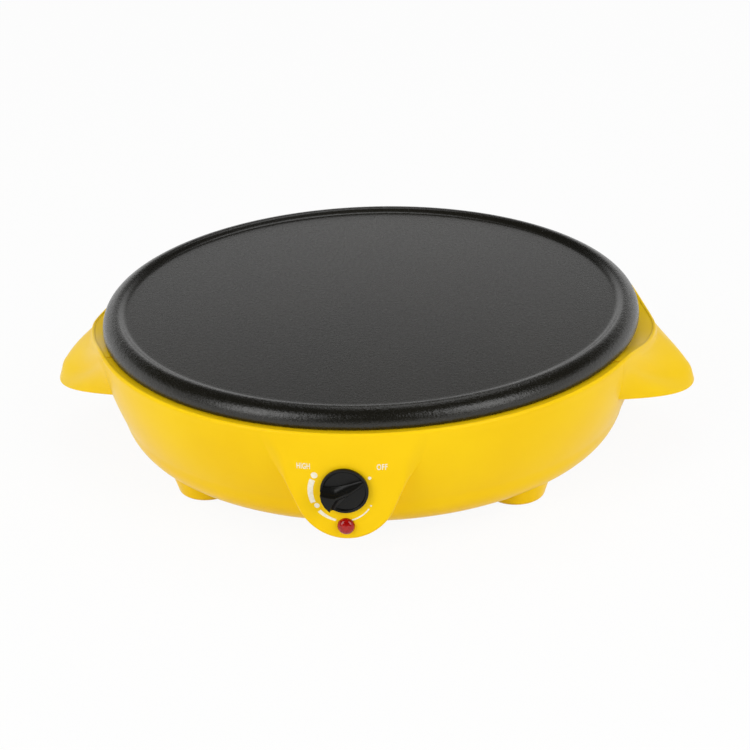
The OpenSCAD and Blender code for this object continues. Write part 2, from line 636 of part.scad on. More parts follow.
// Outline of the grip with half width w at each station
function grip_outline(w) = concat([for (u = GRIP_STEPS) [u, -w(u)]],
    reverse([for (u = GRIP_STEPS) [u, w(u)]]));
GRIP_STEPS = [for (i = [0:10]) mix(grip_tail, grip_nose, i / 10)];
flank_top_z = grip_h - 0.5;
flank_foot = 4.9;
module grip() translate([0, 0, disc_gap + 0.6]) {
    foot_z = disc_gap + 0.6;
    linear_extrude(grip_h - foot_z) polygon(grip_outline(function(u) ridge_w(u)));
    // The sloping flanks
    intersection() {
        linear_extrude(grip_h) polygon(grip_outline(function(u) root_w(u)));
        rotate([90, 0, 90]) translate([0, 0, grip_tail - 1]) linear_extrude(grip_nose - grip_tail + 2)
            polygon([[-flank_foot, -1], [flank_foot, -1], [flank_foot, disc_h - foot_z],
                [2.2, (disc_h + flank_top_z) / 2 - foot_z - 0.6], [0.7, flank_top_z - foot_z],
                [-0.7, flank_top_z - foot_z], [-2.2, (disc_h + flank_top_z) / 2 - foot_z - 0.6],
                [-flank_foot, disc_h - foot_z]]);
    }
}
module d_bore(r, flat, z0, z1) intersection() {
    rod(r, z0, z1);
    translate([-r - 1, -r - 1, z0]) cube([2 * r + 2, r + 1 + flat, z1 - z0]);
}
shaft_r = shaft_d / 2;
shaft_flat = shaft_r - 1.2;
module knob() color(BLACK) front_at(face_y, knob_z) rotate([0, 0, pointer_a]) difference() {
    union() {
        rotate([0, 0, 50]) rotate_extrude($fn = round_fn) polygon([[0, disc_gap],
            [disc_r, disc_gap], [disc_r, disc_h], [disc_r - rim_ring_w, disc_h],
            [disc_r - rim_ring_w, disc_h - 0.9], [0, disc_h - 0.9]]);
        rod(hub_r, hub_back, disc_gap + 0.1);
        grip();
    }
    d_bore(shaft_r + 0.05, shaft_flat + 0.05, hub_back - 1, disc_gap + 0.3);
}
clip_ring_t = 0.5;
module knob_clip() color(STEEL) front_at(face_y, knob_z) rotate([0, 0, pointer_a]) difference() {
    ring(hub_r + 0.08, hub_r + 0.08 + clip_ring_t, hub_back + 0.8, hub_back + 3.6);
    translate([0, -1.5, hub_back]) cube([20, 3, 10]);
}

// ---- thermostat ----
web_y = face_y + 17;                 // rear face of the bracket's web
web_bottom = knob_z - 11;
frame_t = 1.5;
frame_y = web_y + seat + frame_t;    // rear face of the frame plate
barrel_r = 4.9;
head_h = 3;
head_back = frame_y + seat + head_h;
stack_x = -11;
blade_t = 0.4;
blade_w = 8;
tab_x = -26;
module thermostat_shaft() color(STEEL) front_at(face_y, knob_z) rotate([0, 0, pointer_a]) {
    tail = face_y - head_back - 0.1;
    rod(shaft_r, tail, -8);
    d_bore(shaft_r, shaft_flat, -8.1, disc_gap + 0.2);
}
module thermostat_bushing() color(BRASS) front_at(0, knob_z) difference() {
    union() {
        rod(6, -head_back, -head_back + head_h);
        rod(barrel_r, -head_back + 1, -face_y - 9);
    }
    rod(shaft_r + shaft_clear, 100, 170);
}
module bushing_nut() color(STEEL) front_at(0, knob_z) difference() {
    translate([0, 0, -web_y + bracket_t + seat]) cylinder(r = 8, h = 3, $fn = 6);
    rod(barrel_r + screw_clear, 100, 170);
}
module thermostat_bracket() color(STEEL) difference() {
    union() {
        translate([-24, web_y - bracket_t, pan_under - bracket_t - seat]) cube([48, 22, bracket_t]);
        rotate([90, 0, 0]) translate([0, 0, -web_y]) linear_extrude(bracket_t) polygon([
            [-24, pan_under - seat], [-24, knob_z + 16], [-14, knob_z + 9], [-14, web_bottom],
            [14, web_bottom], [14, knob_z + 9], [24, knob_z + 16], [24, pan_under - seat]]);
    }
    front_at(0, knob_z) rod(barrel_r + screw_clear, 100, 170);
    for (s = [-1, 1]) translate([s * bracket_x, bracket_y]) rod(2.2, pan_z - 6, pan_z + 1);
}
bracket_under = pan_under - bracket_t - 2 * seat;
module bracket_screws() color(STEEL) for (s = [-1, 1]) translate([s * bracket_x, bracket_y]) {
    rod(3.6, bracket_under - 2.4, bracket_under);
    rod(plate_screw_d / 2, bracket_under - 1, post_bore_top - 1);
}
module thermostat_frame() color(STEEL) difference() {
    translate([-15, web_y + seat, knob_z - 9]) cube([29, frame_t, 18]);
    front_at(0, knob_z) rod(barrel_r + screw_clear, 100, 170);
    translate([stack_x, 0, 0]) front_at(0, knob_z) rod(1.6, 100, 170);
}
// The stack from the frame plate back: ring, blade, ring, blade, ring, bimetal, ring
ring_h = 3;
wide_ring_h = 4;
blade1_y = frame_y + 2 * seat + ring_h;
blade2_y = blade1_y + blade_t + 2 * seat + wide_ring_h;
bimetal_t = 0.8;
bimetal_y = blade2_y + blade_t + 2 * seat + wide_ring_h;
stack_end = bimetal_y + bimetal_t + 2 * seat + 2;
module stack_ring(y, h) translate([stack_x, y + h, 0]) front_at(0, knob_z) ring(1.6, 4.2, 0, h);
module thermostat_insulators() color(CERAMIC) {
    stack_ring(frame_y + seat, ring_h);
    stack_ring(blade1_y + blade_t + seat, wide_ring_h);
    stack_ring(blade2_y + blade_t + seat, wide_ring_h);
    stack_ring(bimetal_y + bimetal_t + seat, 2);
    // The pin through which the bimetal pushes the rear blade
    translate([11, bimetal_y - seat, 0]) front_at(0, knob_z)
        rod(1.5, 0, bimetal_y - blade2_y - blade_t - 2 * seat);
}
module blade(y, t, x0, x1) difference() {
    translate([x0, y, knob_z - blade_w / 2]) cube([x1 - x0, t, blade_w]);
    translate([stack_x, 0, 0]) front_at(0, knob_z) rod(1.6, 100, 170);
}
module contact_blades() color(BRASS) {
    blade(blade1_y, blade_t, tab_x, 14);
    blade(blade2_y, blade_t, tab_x, 14);
}
module contact_buttons() color(STEEL) {
    translate([11, blade1_y + blade_t + 1.5, 0]) front_at(0, knob_z) rod(2, 0, 1.5);
    translate([11, blade2_y, 0]) front_at(0, knob_z) rod(2, 0, 1.5);
}
module bimetal_strip() color("#9a8f86") blade(bimetal_y, bimetal_t, stack_x - 4.5, 14);
module stack_rivet() color(STEEL) translate([stack_x, 0, 0]) front_at(0, knob_z) {
    rod(1.5, -stack_end, -web_y - 2 * seat);
    rod(3, -stack_end - 1.5, -stack_end);
}

// ---- indicator lamp ----
lens_bore_r = 2.5;
stem_l = 7;
module lamp_lens() color("#c8141c") front_at(face_y, lamp_z) difference() {
    union() {
        // The dome is a slice of a ball, on a short flat rim
        intersection() {
            ball = (lens_d * lens_d / 4 + lens_h * lens_h) / (2 * lens_h);
            translate([0, 0, 0.1 + lens_h - ball]) sphere(r = ball, $fn = round_fn);
            rod(lens_d / 2, 0.1, 9);
        }
        rod(lens_d / 2 - 0.1, 0.1, 0.5);
        rod(stem_d / 2, -stem_l, 0.3);
    }
    rod(lens_bore_r, -stem_l - 1, -1.2);
}
module lamp_ring() color(STEEL) front_at(face_y, lamp_z)
    ring(stem_d / 2 + 0.05, stem_d / 2 + 1, -boss_t - 0.9, -boss_t - 0.2);
neon_r = 2.1;
neon_l = 10;
neon_back = -1.5 - neon_l;
module neon_lamp() color("#e8b9a4") front_at(face_y, lamp_z) {
    rod(neon_r, neon_back, -3.4);
    translate([0, 0, -3.4]) sphere(r = neon_r - 0.01, $fn = round_fn);
}
resistor_r = 1.3;
RESISTOR = [-6, -128, 20];
module lamp_resistor() color("#d7c39a") translate(RESISTOR) rotate([-90, 0, 0]) {
    rod(resistor_r, 0, 7);
    for (z = [0.2, 5.2]) rod(resistor_r + 0.2, z, z + 1.6);
}

// ---- terminal block and cord entry ----
block_y = 108;
block_half_x = 17;
block_half_y = 8;
block_h = 14;
block_z = floor_z + seat;
way_z = block_z + 6.7;
way_r = 2.6;
wire_way_z = way_z + 0.4;            // the wires under the terminal screws
lead_way_z = way_z - 1.7;            // the lamp's lead under the neutral wire
WAYS = [-11, 0, 11];
block_hole_x = 5.5;
module terminal_block() color(CERAMIC) difference() {
    translate([-block_half_x, block_y - block_half_y, block_z])
        cube([2 * block_half_x, 2 * block_half_y, block_h]);
    for (x = WAYS) translate([x, 0, 0]) {
        rear_at(0, way_z) rod(way_r, block_y - block_half_y - 1, block_y + block_half_y + 1);
        for (y = [-3, 3]) translate([0, block_y + y]) rod(1.6, way_z, block_z + block_h + 1);
    }
    for (s = [-1, 1]) translate([s * block_hole_x, block_y]) rod(1.6, 0, 99);
    // Barriers between the ways
    for (x = [-5.5, 5.5]) translate([x - 1, block_y - 9, block_z + block_h - 3]) cube([2, 5, 4]);
    for (x = [-5.5, 5.5]) translate([x - 1, block_y + 4, block_z + block_h - 3]) cube([2, 5, 4]);
}
module terminal_screws() color(BRASS) for (x = WAYS, y = [-3, 3]) translate([x, block_y + y]) {
    rod(1.45, wire_way_z + wire_d / 2 + seat, block_z + block_h + 1);
    rod(2.4, block_z + block_h + seat, block_z + block_h + 1.7);
}
module block_screws() color(STEEL) for (s = [-1, 1]) translate([s * block_hole_x, block_y]) {
    rod(small_screw_d / 2, stand_h + 1.1, block_z + block_h + 1);
    rod(2.7, block_z + block_h + seat, block_z + block_h + 1.8);
}
gland_flange_r = 9.5;
module cord_gland() color(BLACK) rear_at(0, cord_z) difference() {
    union() {
        rod(gland_barrel_r, pad_y - 12, pad_y + 1);
        rod(gland_flange_r, pad_y + seat, pad_y + 3);
        translate([0, 0, pad_y + 2.9])
            cylinder(r1 = 8, r2 = 5.8, h = gland_reach - 2.9, $fn = round_fn);
    }
    rod(gland_bore_d / 2, pad_y - 20, pad_y + gland_reach + 5);
}
module gland_nut() color(BLACK) rear_at(0, cord_z) difference() {
    translate([0, 0, pad_y - wall_t - seat - 5]) cylinder(r = 9.6, h = 5, $fn = 6);
    rod(gland_barrel_r + screw_clear, pad_y - 30, pad_y);
}

// ---- thermal fuse and earth ----
fuse_r = 2.3;
fuse_z = pan_under - fuse_r;
module thermal_fuse() color(CERAMIC) translate([fuse_at[0], fuse_at[1], fuse_z])
    rotate([0, 90, 0]) rod(fuse_r, -fuse_half_l, fuse_half_l);
module fuse_clip() color(STEEL) translate([fuse_at[0], fuse_at[1], 0]) {
    rotate([90, 0, 90]) translate([0, 0, -3]) linear_extrude(6) difference() {
        union() {
            translate([-7.2, pan_under - 0.6]) square([14.4, 0.6]);
            intersection() {
                translate([0, fuse_z]) circle(r = fuse_r + 0.7, $fn = round_fn);
                translate([-5, fuse_z - 5]) square([10, 5 + fuse_r]);
            }
        }
        translate([0, fuse_z]) circle(r = fuse_r + 0.1, $fn = round_fn);
        translate([-fuse_r - 0.1, fuse_z]) square([2 * fuse_r + 0.2, fuse_r + 1]);
    }
    for (s = [-1, 1]) translate([0, s * fuse_foot]) {
        rod(1.2, pan_under - 0.3, pan_z + 0.5);
        rod(2, pan_z, pan_z + 0.8);
        rod(2, pan_under - 1.2, pan_under - 0.5);
    }
}
lug_t = 0.8;
crimp_drop = 1.2;
earth_z = pan_under - lug_t - seat - crimp_drop;
module earth_lug() color(BRASS) translate([earth_at[0], earth_at[1], pan_under - lug_t - seat]) {
    difference() {
        union() {
            rod(4, 0, lug_t);
            translate([-2, -10, 0]) cube([4, 10, lug_t]);
        }
        rod(plate_screw_d / 2 + screw_clear, -1, 2);
    }
    translate([0, -9.5, -crimp_drop]) rotate([90, 0, 0]) difference() {
        rod(1.9, 0, 4.7);
        rod(wire_d / 2 + 0.1, -1, 9);
    }
}
module earth_screw() color(STEEL) translate(earth_at) {
    top = pan_under - lug_t - 2 * seat;
    rod(3.6, top - 2.4, top);
    rod(plate_screw_d / 2, top - 1, post_bore_top - 1);
}

// ---- wiring ----
tab_end = tab_x - 7;
module push_on(l) difference() {
    translate([-1.5, -3.8, 0]) cube([3, 7.6, l]);
    translate([-0.6, -4.2, -1]) cube([1.2, 8.4, l - 0.6]);
}
module push_on_connectors() color(STEEL) {
    for (y = [blade1_y, blade2_y]) translate([tab_end + 8, y + blade_t / 2, knob_z])
        rotate([0, -90, 0]) rotate([0, 0, 90]) rotate([0, 0, 90]) push_on_flat(8);
    for (s = [-1, 1]) translate([s * leg_off, leg_y, tab_bottom_z + 5]) rotate([180, 0, 0])
        rotate([0, 0, 90]) push_on(9);
}
// The same connector lying along X, over a tab that stands on edge
module push_on_flat(l) difference() {
    translate([-4.4, -1.5, 0]) cube([8.8, 3, l]);
    translate([-5, -0.4, -1]) cube([10, 0.8, l - 0.6]);
}

conn_x = tab_end - 0.5;
conn_z = tab_bottom_z - 4;
block_face_y = block_y - block_half_y;
LIVE = [[-11, block_face_y + 7, wire_way_z], [-11, block_face_y - 3, wire_way_z], [-14, 88, 16],
    [-34, 74, 22],
    [-58, 62, 44], [-62, 53, 58], [-57, 50, fuse_z], [-51.2, 50, fuse_z]];
FUSE = [[-38.8, 50, fuse_z], [-33, 50, 60], [-28, 44, 54], [-26, 20, 46], [-28, -40, 44],
    [-36, -100, 44], [-42, -128, 43], [-40, -136, 40], [conn_x, blade1_y + 0.2, knob_z]];
ELEMENT = [[-leg_off, leg_y, conn_z - 0.5], [-leg_off, 94, 26], [-10, 84, 22], [-24, 60, 18],
    [-30, 0, 16], [-30, -70, 18], [-38, -112, 28], [-41, -126, 37], [conn_x, blade2_y + 0.2, knob_z]];
NEUTRAL = [[leg_off, leg_y, conn_z - 0.5], [leg_off, 94, 25], [9, 90, 20.5],
    [10.5, 92.5, 18], [11, block_face_y - 2, wire_way_z], [11, block_face_y + 7, wire_way_z]];
EARTH = [[0, block_face_y + 7, wire_way_z], [0, block_face_y - 4, wire_way_z], [5, 84, 20], [18, 58, 34],
    [32, 36, 52], [39, 34, 59], [40, 42, earth_z], [40, 48, earth_z]];
lead_r = lead_d / 2;
NEON_TO_RESISTOR = [[-1, face_y - neon_back + 0.4, lamp_z], [-3, -138, 19],
    [-6, -128.4, RESISTOR[2]]];
RESISTOR_TO_BLADE = [[-6, -120.5, RESISTOR[2]], [-14, -112, 23], [-30, -112, 30],
    [-37, -122, 35], [conn_x - 0.25, blade2_y + 0.2, knob_z - 2.5]];
NEON_TO_NEUTRAL = [[1, face_y - neon_back + 0.4, lamp_z], [4, -136, 18], [20, -100, 15],
    [34, -40, 14.5], [30, 40, 14.5], [22, 80, 15], [12, 92, 15.5], [11, block_face_y - 2, lead_way_z],
    [11, block_face_y + 7, lead_way_z]];
module live_wire() color("#6b3a1e") cable(LIVE, wire_d / 2);
module fuse_wire() color("#6b3a1e") cable(FUSE, wire_d / 2);
module element_wire() color("#6b3a1e") cable(ELEMENT, wire_d / 2);
module neutral_wire() color("#2255aa") cable(NEUTRAL, wire_d / 2);
module earth_wire() color("#5a9a3a") cable(EARTH, wire_d / 2);
module lamp_wires() color("#dddddd") {
    cable(NEON_TO_RESISTOR, lead_r, 3);
    cable(RESISTOR_TO_BLADE, lead_r, 3);
    cable(NEON_TO_NEUTRAL, lead_r, 3);
}

griddle_plate();
heating_element();
element_seals();
element_terminals();
element_clips();
clip_screws();
reflector_pan();
plate_screws();
plate_spacers();
heat_washers();
body_shell();
bottom_cover();
cover_screws();
left_handle();
right_handle();
handle_screws();
front_left_foot();
front_right_foot();
rear_left_foot();
rear_right_foot();
knob();
knob_clip();
thermostat_shaft();
thermostat_bushing();
bushing_nut();
thermostat_bracket();
bracket_screws();
thermostat_frame();
thermostat_insulators();
contact_blades();
contact_buttons();
bimetal_strip();
stack_rivet();
lamp_lens();
lamp_ring();
neon_lamp();
lamp_resistor();
terminal_block();
terminal_screws();
block_screws();
cord_gland();
gland_nut();
thermal_fuse();
fuse_clip();
earth_screw();
earth_lug();
push_on_connectors();
live_wire();
fuse_wire();
element_wire();
neutral_wire();
earth_wire();
lamp_wires();
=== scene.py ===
# %% [markdown]
# # An electric crepe maker
# The part is a heated griddle plate that sits in a bowl-shaped yellow body, with an ear-shaped
# handle on each side, a boss with a knob and a lamp in front, and four foot pods below. The packed
# model is loaded first, as a fixed frame in metres: each piece made here goes where it says.
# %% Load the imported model
import math

import bpy
from mathutils import Matrix, Vector


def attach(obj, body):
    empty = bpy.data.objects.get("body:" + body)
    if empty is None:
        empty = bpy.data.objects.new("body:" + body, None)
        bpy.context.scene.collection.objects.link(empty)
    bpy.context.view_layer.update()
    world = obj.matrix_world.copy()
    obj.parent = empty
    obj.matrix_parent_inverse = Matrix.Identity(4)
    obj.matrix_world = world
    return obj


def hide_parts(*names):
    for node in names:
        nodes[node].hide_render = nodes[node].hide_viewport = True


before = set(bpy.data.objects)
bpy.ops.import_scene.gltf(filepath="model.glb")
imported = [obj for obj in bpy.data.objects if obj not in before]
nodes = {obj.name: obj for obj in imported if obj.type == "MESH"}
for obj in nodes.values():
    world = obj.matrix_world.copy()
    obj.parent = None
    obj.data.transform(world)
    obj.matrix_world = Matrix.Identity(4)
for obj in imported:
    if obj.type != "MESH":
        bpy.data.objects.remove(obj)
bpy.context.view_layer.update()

# %% [markdown]
# ## The camera
# The camera stands in front of the part, a little to its left, and looks down on it by about 23
# degrees. Its place follows from a target under the plate's middle, a distance and three angles. A
# small shift slides the frame so that the object sits where it should without turning the camera.
# %% Camera
IMAGE_SIZE = 750                      # pixels along each side of the finished image
SENSOR_MM = 36
FOCAL_PX = 2008                       # focal length in pixels of that image
SHIFT_PX = (4.45, -65.0)              # how far the frame slides, right and up
CAMERA_DISTANCE = 1.150
AZIMUTH, ELEVATION, ROLL = (math.radians(a) for a in (6, 23.15, -2.06))
TARGET = Vector((0, 0, 0.072))

scene = bpy.context.scene
level_right = Vector((math.cos(AZIMUTH), math.sin(AZIMUTH), 0))
forward = Vector((-math.sin(AZIMUTH) * math.cos(ELEVATION),
                  math.cos(AZIMUTH) * math.cos(ELEVATION), -math.sin(ELEVATION)))
level_up = level_right.cross(forward)
camera_x = level_right * math.cos(ROLL) + level_up * math.sin(ROLL)
camera_y = level_up * math.cos(ROLL) - level_right * math.sin(ROLL)
place = Matrix((camera_x, camera_y, -forward)).transposed().to_4x4()
place.translation = TARGET - forward * CAMERA_DISTANCE

bpy.ops.object.select_all(action="DESELECT")
bpy.ops.object.camera_add()
camera = bpy.context.object
camera.name = "camera"
camera.matrix_world = place
camera.data.sensor_width = SENSOR_MM
camera.data.lens = FOCAL_PX / IMAGE_SIZE * SENSOR_MM
camera.data.shift_x, camera.data.shift_y = (shift / IMAGE_SIZE for shift in SHIFT_PX)
scene.camera = camera
print("camera at", [round(v, 3) for v in place.translation])

# %% [markdown]
# ## Floor, backdrop and light
# The floor is pale; it shows pure white to the camera and in reflections, but it still takes the
# object's shadow. Two tall soft lamps in front and a weak one behind light the object plainly, so
# that a colour renders about as it was written. A glossy black plate mostly shows the room, so
# the room has a white wall, a dark ceiling and a dark open side.
# %% Helpers for node materials
def new_material(name):
    """A node material; returns the material, its node tree and its Principled shader."""
    material = bpy.data.materials.new(name)
    material.use_nodes = True
    tree = material.node_tree
    return material, tree, tree.nodes["Principled BSDF"]


def put(socket, value):
    """Links an input to an output of another node, or sets it to a value."""
    if isinstance(value, bpy.types.NodeSocket):
        socket.id_data.links.new(value, socket)
    else:
        socket.default_value = value


def give(node, **values):
    """Puts values or outputs into a node's inputs, by socket name."""
    for name, value in values.items():
        put(node.inputs[name.replace("_", " ")], value)


def add_node(tree, kind, **values):
    """A new node of a kind, with its inputs given by socket name."""
    node = tree.nodes.new(kind)
    give(node, **values)
    return node


def operate(tree, kind, operation, *sources):
    """A Math or VectorMath node on values or outputs, given in order."""
    node = tree.nodes.new(kind)
    node.operation = operation
    for socket, source in zip(node.inputs, sources):
        put(socket, source)
    return node


def remap(tree, value, low, high, to_low, to_high):
    """An output that runs from to_low to to_high while a value runs from low to high."""
    node = add_node(tree, "ShaderNodeMapRange", Value=value, From_Min=low, From_Max=high,
                    To_Min=to_low, To_Max=to_high)
    return node.outputs["Result"]


def ramp(tree, source, low, high, *colours):
    """The colour of a ramp between two colours, which lie at low and high."""
    node = add_node(tree, "ShaderNodeValToRGB", Fac=source)
    for element, at, colour in zip(node.color_ramp.elements, (low, high), colours):
        element.position, element.color = at, (*colour, 1)
    return node.outputs["Color"]


def rays_that_look(tree, path):
    """1 for rays from the camera, a reflection or a clear body, 0 for light that falls."""
    total = path.outputs["Is Camera Ray"]
    for kind in ("Is Glossy Ray", "Is Transmission Ray"):
        total = operate(tree, "ShaderNodeMath", "MAXIMUM", total, path.outputs[kind]).outputs[0]
    return total


# %% World
FILL_FRONT, FILL_BACK = 0.44, 0.68        # what falls on things from the open side and the wall
WALL_TOP, CEILING_START = 0.36, 0.42      # heights in the direction of a ray
WALL, CEILING, OPEN_SIDE = 0.92, 0.03, 0.08     # greys that a reflection sees

scene.view_settings.view_transform = "Standard"
world = bpy.data.worlds.new("studio")
scene.world = world
world.use_nodes = True
sky = world.node_tree
path = sky.nodes.new("ShaderNodeLightPath")
ray = add_node(sky, "ShaderNodeSeparateXYZ",
               Vector=sky.nodes.new("ShaderNodeTexCoord").outputs["Generated"])
# Rays that look see the full level; what falls on things comes mostly from the white wall
fill = remap(sky, ray.outputs["Y"], -0.1, 0.3, FILL_FRONT, FILL_BACK)
level = remap(sky, rays_that_look(sky, path), 0, 1, fill, 1.0)
# All is white, but a reflection sees the wall end in a dark ceiling, and the dark open side
ceiling = ramp(sky, ray.outputs["Z"], WALL_TOP, CEILING_START, (WALL,) * 3, (CEILING,) * 3)
room = add_node(sky, "ShaderNodeMixRGB", Fac=1.0, Color1=ceiling,
                Color2=remap(sky, ray.outputs["Y"], -0.45, -0.05, OPEN_SIDE, 1.0))
room.blend_type = "MULTIPLY"
seen = add_node(sky, "ShaderNodeMixRGB", Fac=path.outputs["Is Glossy Ray"],
                Color1=(1, 1, 1, 1), Color2=room.outputs["Color"])
give(sky.nodes["Background"], Color=seen.outputs["Color"], Strength=level)
print("world nodes:", len(sky.nodes))

# %% Floor
WHITE_SHARE = 0.93                        # the rest keeps a trace of the shadow

floor_material, tree, shader = new_material("studio_floor")
give(shader, Base_Color=(0.86, 0.86, 0.85, 1), Roughness=0.9)
white = add_node(tree, "ShaderNodeEmission", Color=(1, 1, 1, 1), Strength=1.0)
looking = rays_that_look(tree, tree.nodes.new("ShaderNodeLightPath"))
share = operate(tree, "ShaderNodeMath", "MULTIPLY", looking, WHITE_SHARE)
mixer = tree.nodes.new("ShaderNodeMixShader")
for socket, source in zip(mixer.inputs, (share, shader, white)):
    put(socket, source.outputs[0])
give(tree.nodes["Material Output"], Surface=mixer.outputs[0])

bpy.ops.object.select_all(action="DESELECT")
bpy.ops.mesh.primitive_plane_add(size=12)
studio_floor = bpy.context.object
studio_floor.name = "studio_floor"
studio_floor.data.materials.append(floor_material)
print("made", studio_floor.name)


# %% Lamps
def area_lamp(name, position, aim, width, height, power):
    """A soft rectangular lamp at a position, turned to a point."""
    bpy.ops.object.light_add(type="AREA", location=position)
    lamp = bpy.context.object
    lamp.name = name
    lamp.data.shape = "RECTANGLE"
    lamp.data.size, lamp.data.size_y = width, height
    lamp.data.energy = power
    lamp.rotation_euler = (Vector(aim) - Vector(position)).to_track_quat("-Z", "Y").to_euler()


area_lamp("key_lamp", (-1.14, -1.26, 0.98), (0, 0, 0.06), width=0.90, height=1.5, power=14.8)
area_lamp("side_lamp", (1.34, -1.02, 0.95), (0, 0, 0.06), width=0.90, height=1.4, power=13.4)
area_lamp("back_lamp", (0.1, 1.2, 2.2), (0, 0, 0.05), width=1.0, height=1.0, power=5)

# %% [markdown]
# ## Yellow moulded plastic
# The body and the handles are glossy ABS. Real mouldings are never one flat colour: thick places
# look a shade deeper, and the polished skin has a faint orange-peel waviness that bends
# highlights. A large soft noise drives the colour and the roughness, and two fine noises drive a
# weak bump.
# %% Yellow plastic
def object_place(tree):
    """The Object coordinates, on which every pattern hangs."""
    return tree.nodes.new("ShaderNodeTexCoord").outputs["Object"]


def noise(tree, coordinates, scale, detail=2.0, roughness=0.5):
    """A noise pattern on the given coordinates; the scale is in cells per metre."""
    node = add_node(tree, "ShaderNodeTexNoise", Vector=coordinates, Scale=scale, Detail=detail,
                    Roughness=roughness)
    return node.outputs["Fac"]


def relief(tree, shader, *layers, strength=1.0):
    """Bumps on a shader; each layer is a pattern and how high it stands in metres."""
    normal = None
    for height, distance in layers:
        node = add_node(tree, "ShaderNodeBump", Strength=strength, Distance=distance,
                        Height=height)
        if normal:
            put(node.inputs["Normal"], normal)
        normal = node.outputs["Normal"]
    give(shader, Normal=normal)


def moulded_plastic(name, dark, light, rough, peel, grain, grain_scale=2600.0, **more):
    """Plastic with a slow drift of colour and gloss, a wavy skin and a fine grain."""
    material, tree, shader = new_material(name)
    place = object_place(tree)
    tint = ramp(tree, noise(tree, place, 14.0, 3.0), 0.3, 0.7, dark, light)
    gloss = remap(tree, noise(tree, place, 45.0, 4.0), 0, 1, *rough)
    give(shader, Base_Color=tint, Roughness=gloss, **more)
    relief(tree, shader, (noise(tree, place, 160.0, 1.0), peel),
           (noise(tree, place, grain_scale), grain))
    return material


yellow_plastic = moulded_plastic("glossy_yellow", (0.93, 0.585, 0.004), (0.97, 0.64, 0.006),
                                 (0.26, 0.34), 0.00004, 0.000004, Specular_IOR_Level=0.08)
print("made", yellow_plastic.name)

# %% [markdown]
# ## The plate's non-stick coat
# The coat is sprayed on and baked: warm charcoal, satin, with a fine pebbled skin that breaks a
# highlight into pale specks. A fine noise gives the pebbles, a second sharper one gives the specks
# both a colour and a lower roughness, and a slow noise varies the tone like a real spray coat. The
# cooking face is rubbed flat; the rolled edge beyond it keeps its pebbles.
# %% Non-stick coat
nonstick, tree, shader = new_material("nonstick_coat")
place = object_place(tree)
tone = ramp(tree, noise(tree, place, 9.0, 3.0), 0.35, 0.65,
            (0.0045, 0.0041, 0.0022), (0.008, 0.0071, 0.0040))
speck = noise(tree, place, 900.0, 3.0, 0.7)
speckled = add_node(tree, "ShaderNodeMixRGB", Color1=tone, Color2=(0.045, 0.045, 0.042, 1),
                    Fac=ramp(tree, speck, 0.62, 0.72, (0, 0, 0), (1, 1, 1)))
give(shader, Base_Color=speckled.outputs["Color"], IOR=1.56,
     Roughness=remap(tree, speck, 0.3, 0.75, 0.31, 0.20))
# The distance from the plate's axis, in metres, tells the flat face from the rolled edge
flattened = operate(tree, "ShaderNodeVectorMath", "MULTIPLY", place, (1, 1, 0))
from_axis = operate(tree, "ShaderNodeVectorMath", "LENGTH", flattened.outputs["Vector"])
on_edge = remap(tree, from_axis.outputs["Value"], 0.141, 0.145, 0.3, 1.0)
relief(tree, shader, (noise(tree, place, 520.0), 0.00012), (speck, 0.00014), strength=on_edge)
print("made", nonstick.name)

# %% [markdown]
# ## Tracing and turning
# The plate, the bowl, the pods, the lamp and the knob's disc are all bodies of revolution. On a
# lathe one draws half of the section and turns it. Here the section starts as a plane whose
# corners are merged into one point; that point is extruded from corner to corner of the drawing,
# and the spin operator turns the line. Afterwards the doubled seam and poles are merged and the
# faces are turned outwards.
# %% Tracing and turning
MM = 0.001
MERGE = 0.002 * MM                    # points closer than this become one


def nothing_selected():
    """Leaves edit mode and clears the selection."""
    if bpy.context.object and bpy.context.object.mode != "OBJECT":
        bpy.ops.object.mode_set(mode="OBJECT")
    bpy.ops.object.select_all(action="DESELECT")


def pick(piece):
    """Makes a piece the only selected one, and the active one."""
    nothing_selected()
    piece.select_set(True)
    bpy.context.view_layer.objects.active = piece


def trace(name, points):
    """A chain of edges through 3-D points in millimetres, left in edit mode and selected."""
    nothing_selected()
    first = Vector(points[0]) * MM
    bpy.ops.mesh.primitive_plane_add(size=1e-4, location=(0, 0, 0))
    piece = bpy.context.object
    piece.name = piece.data.name = name
    bpy.ops.object.mode_set(mode="EDIT")
    bpy.ops.mesh.merge(type="CENTER")
    bpy.ops.transform.translate(value=first)
    here = first
    for point in points[1:]:
        there = Vector(point) * MM
        bpy.ops.mesh.extrude_region_move(TRANSFORM_OT_translate={"value": there - here})
        here = there
    bpy.ops.mesh.select_all(action="SELECT")
    return piece


def close_up(piece):
    """Merges doubled points, turns the faces outwards and leaves edit mode."""
    bpy.ops.mesh.select_all(action="SELECT")
    bpy.ops.mesh.remove_doubles(threshold=MERGE)
    bpy.ops.mesh.normals_make_consistent(inside=False)
    bpy.ops.object.mode_set(mode="OBJECT")
    return piece


def turn(name, section, steps=256, degrees=360.0):
    """A body turned around the Z axis from a section of (radius, height) in millimetres."""
    piece = trace(name, [(r, 0, z) for r, z in section])
    bpy.ops.mesh.spin(steps=steps, angle=math.radians(degrees), center=(0, 0, 0), axis=(0, 0, 1))
    return close_up(piece)


def mix(a, b, t):
    return a * (1 - t) + b * t


def ease(t):
    """0 up to 0, 1 from 1, and a soft S between."""
    t = min(1.0, max(0.0, t))
    return t * t * (3 - 2 * t)


def bent(a, corner, b, t):
    """A point of the quadratic curve from a to b that is drawn towards a corner."""
    return (1 - t) ** 2 * a + 2 * t * (1 - t) * corner + t * t * b


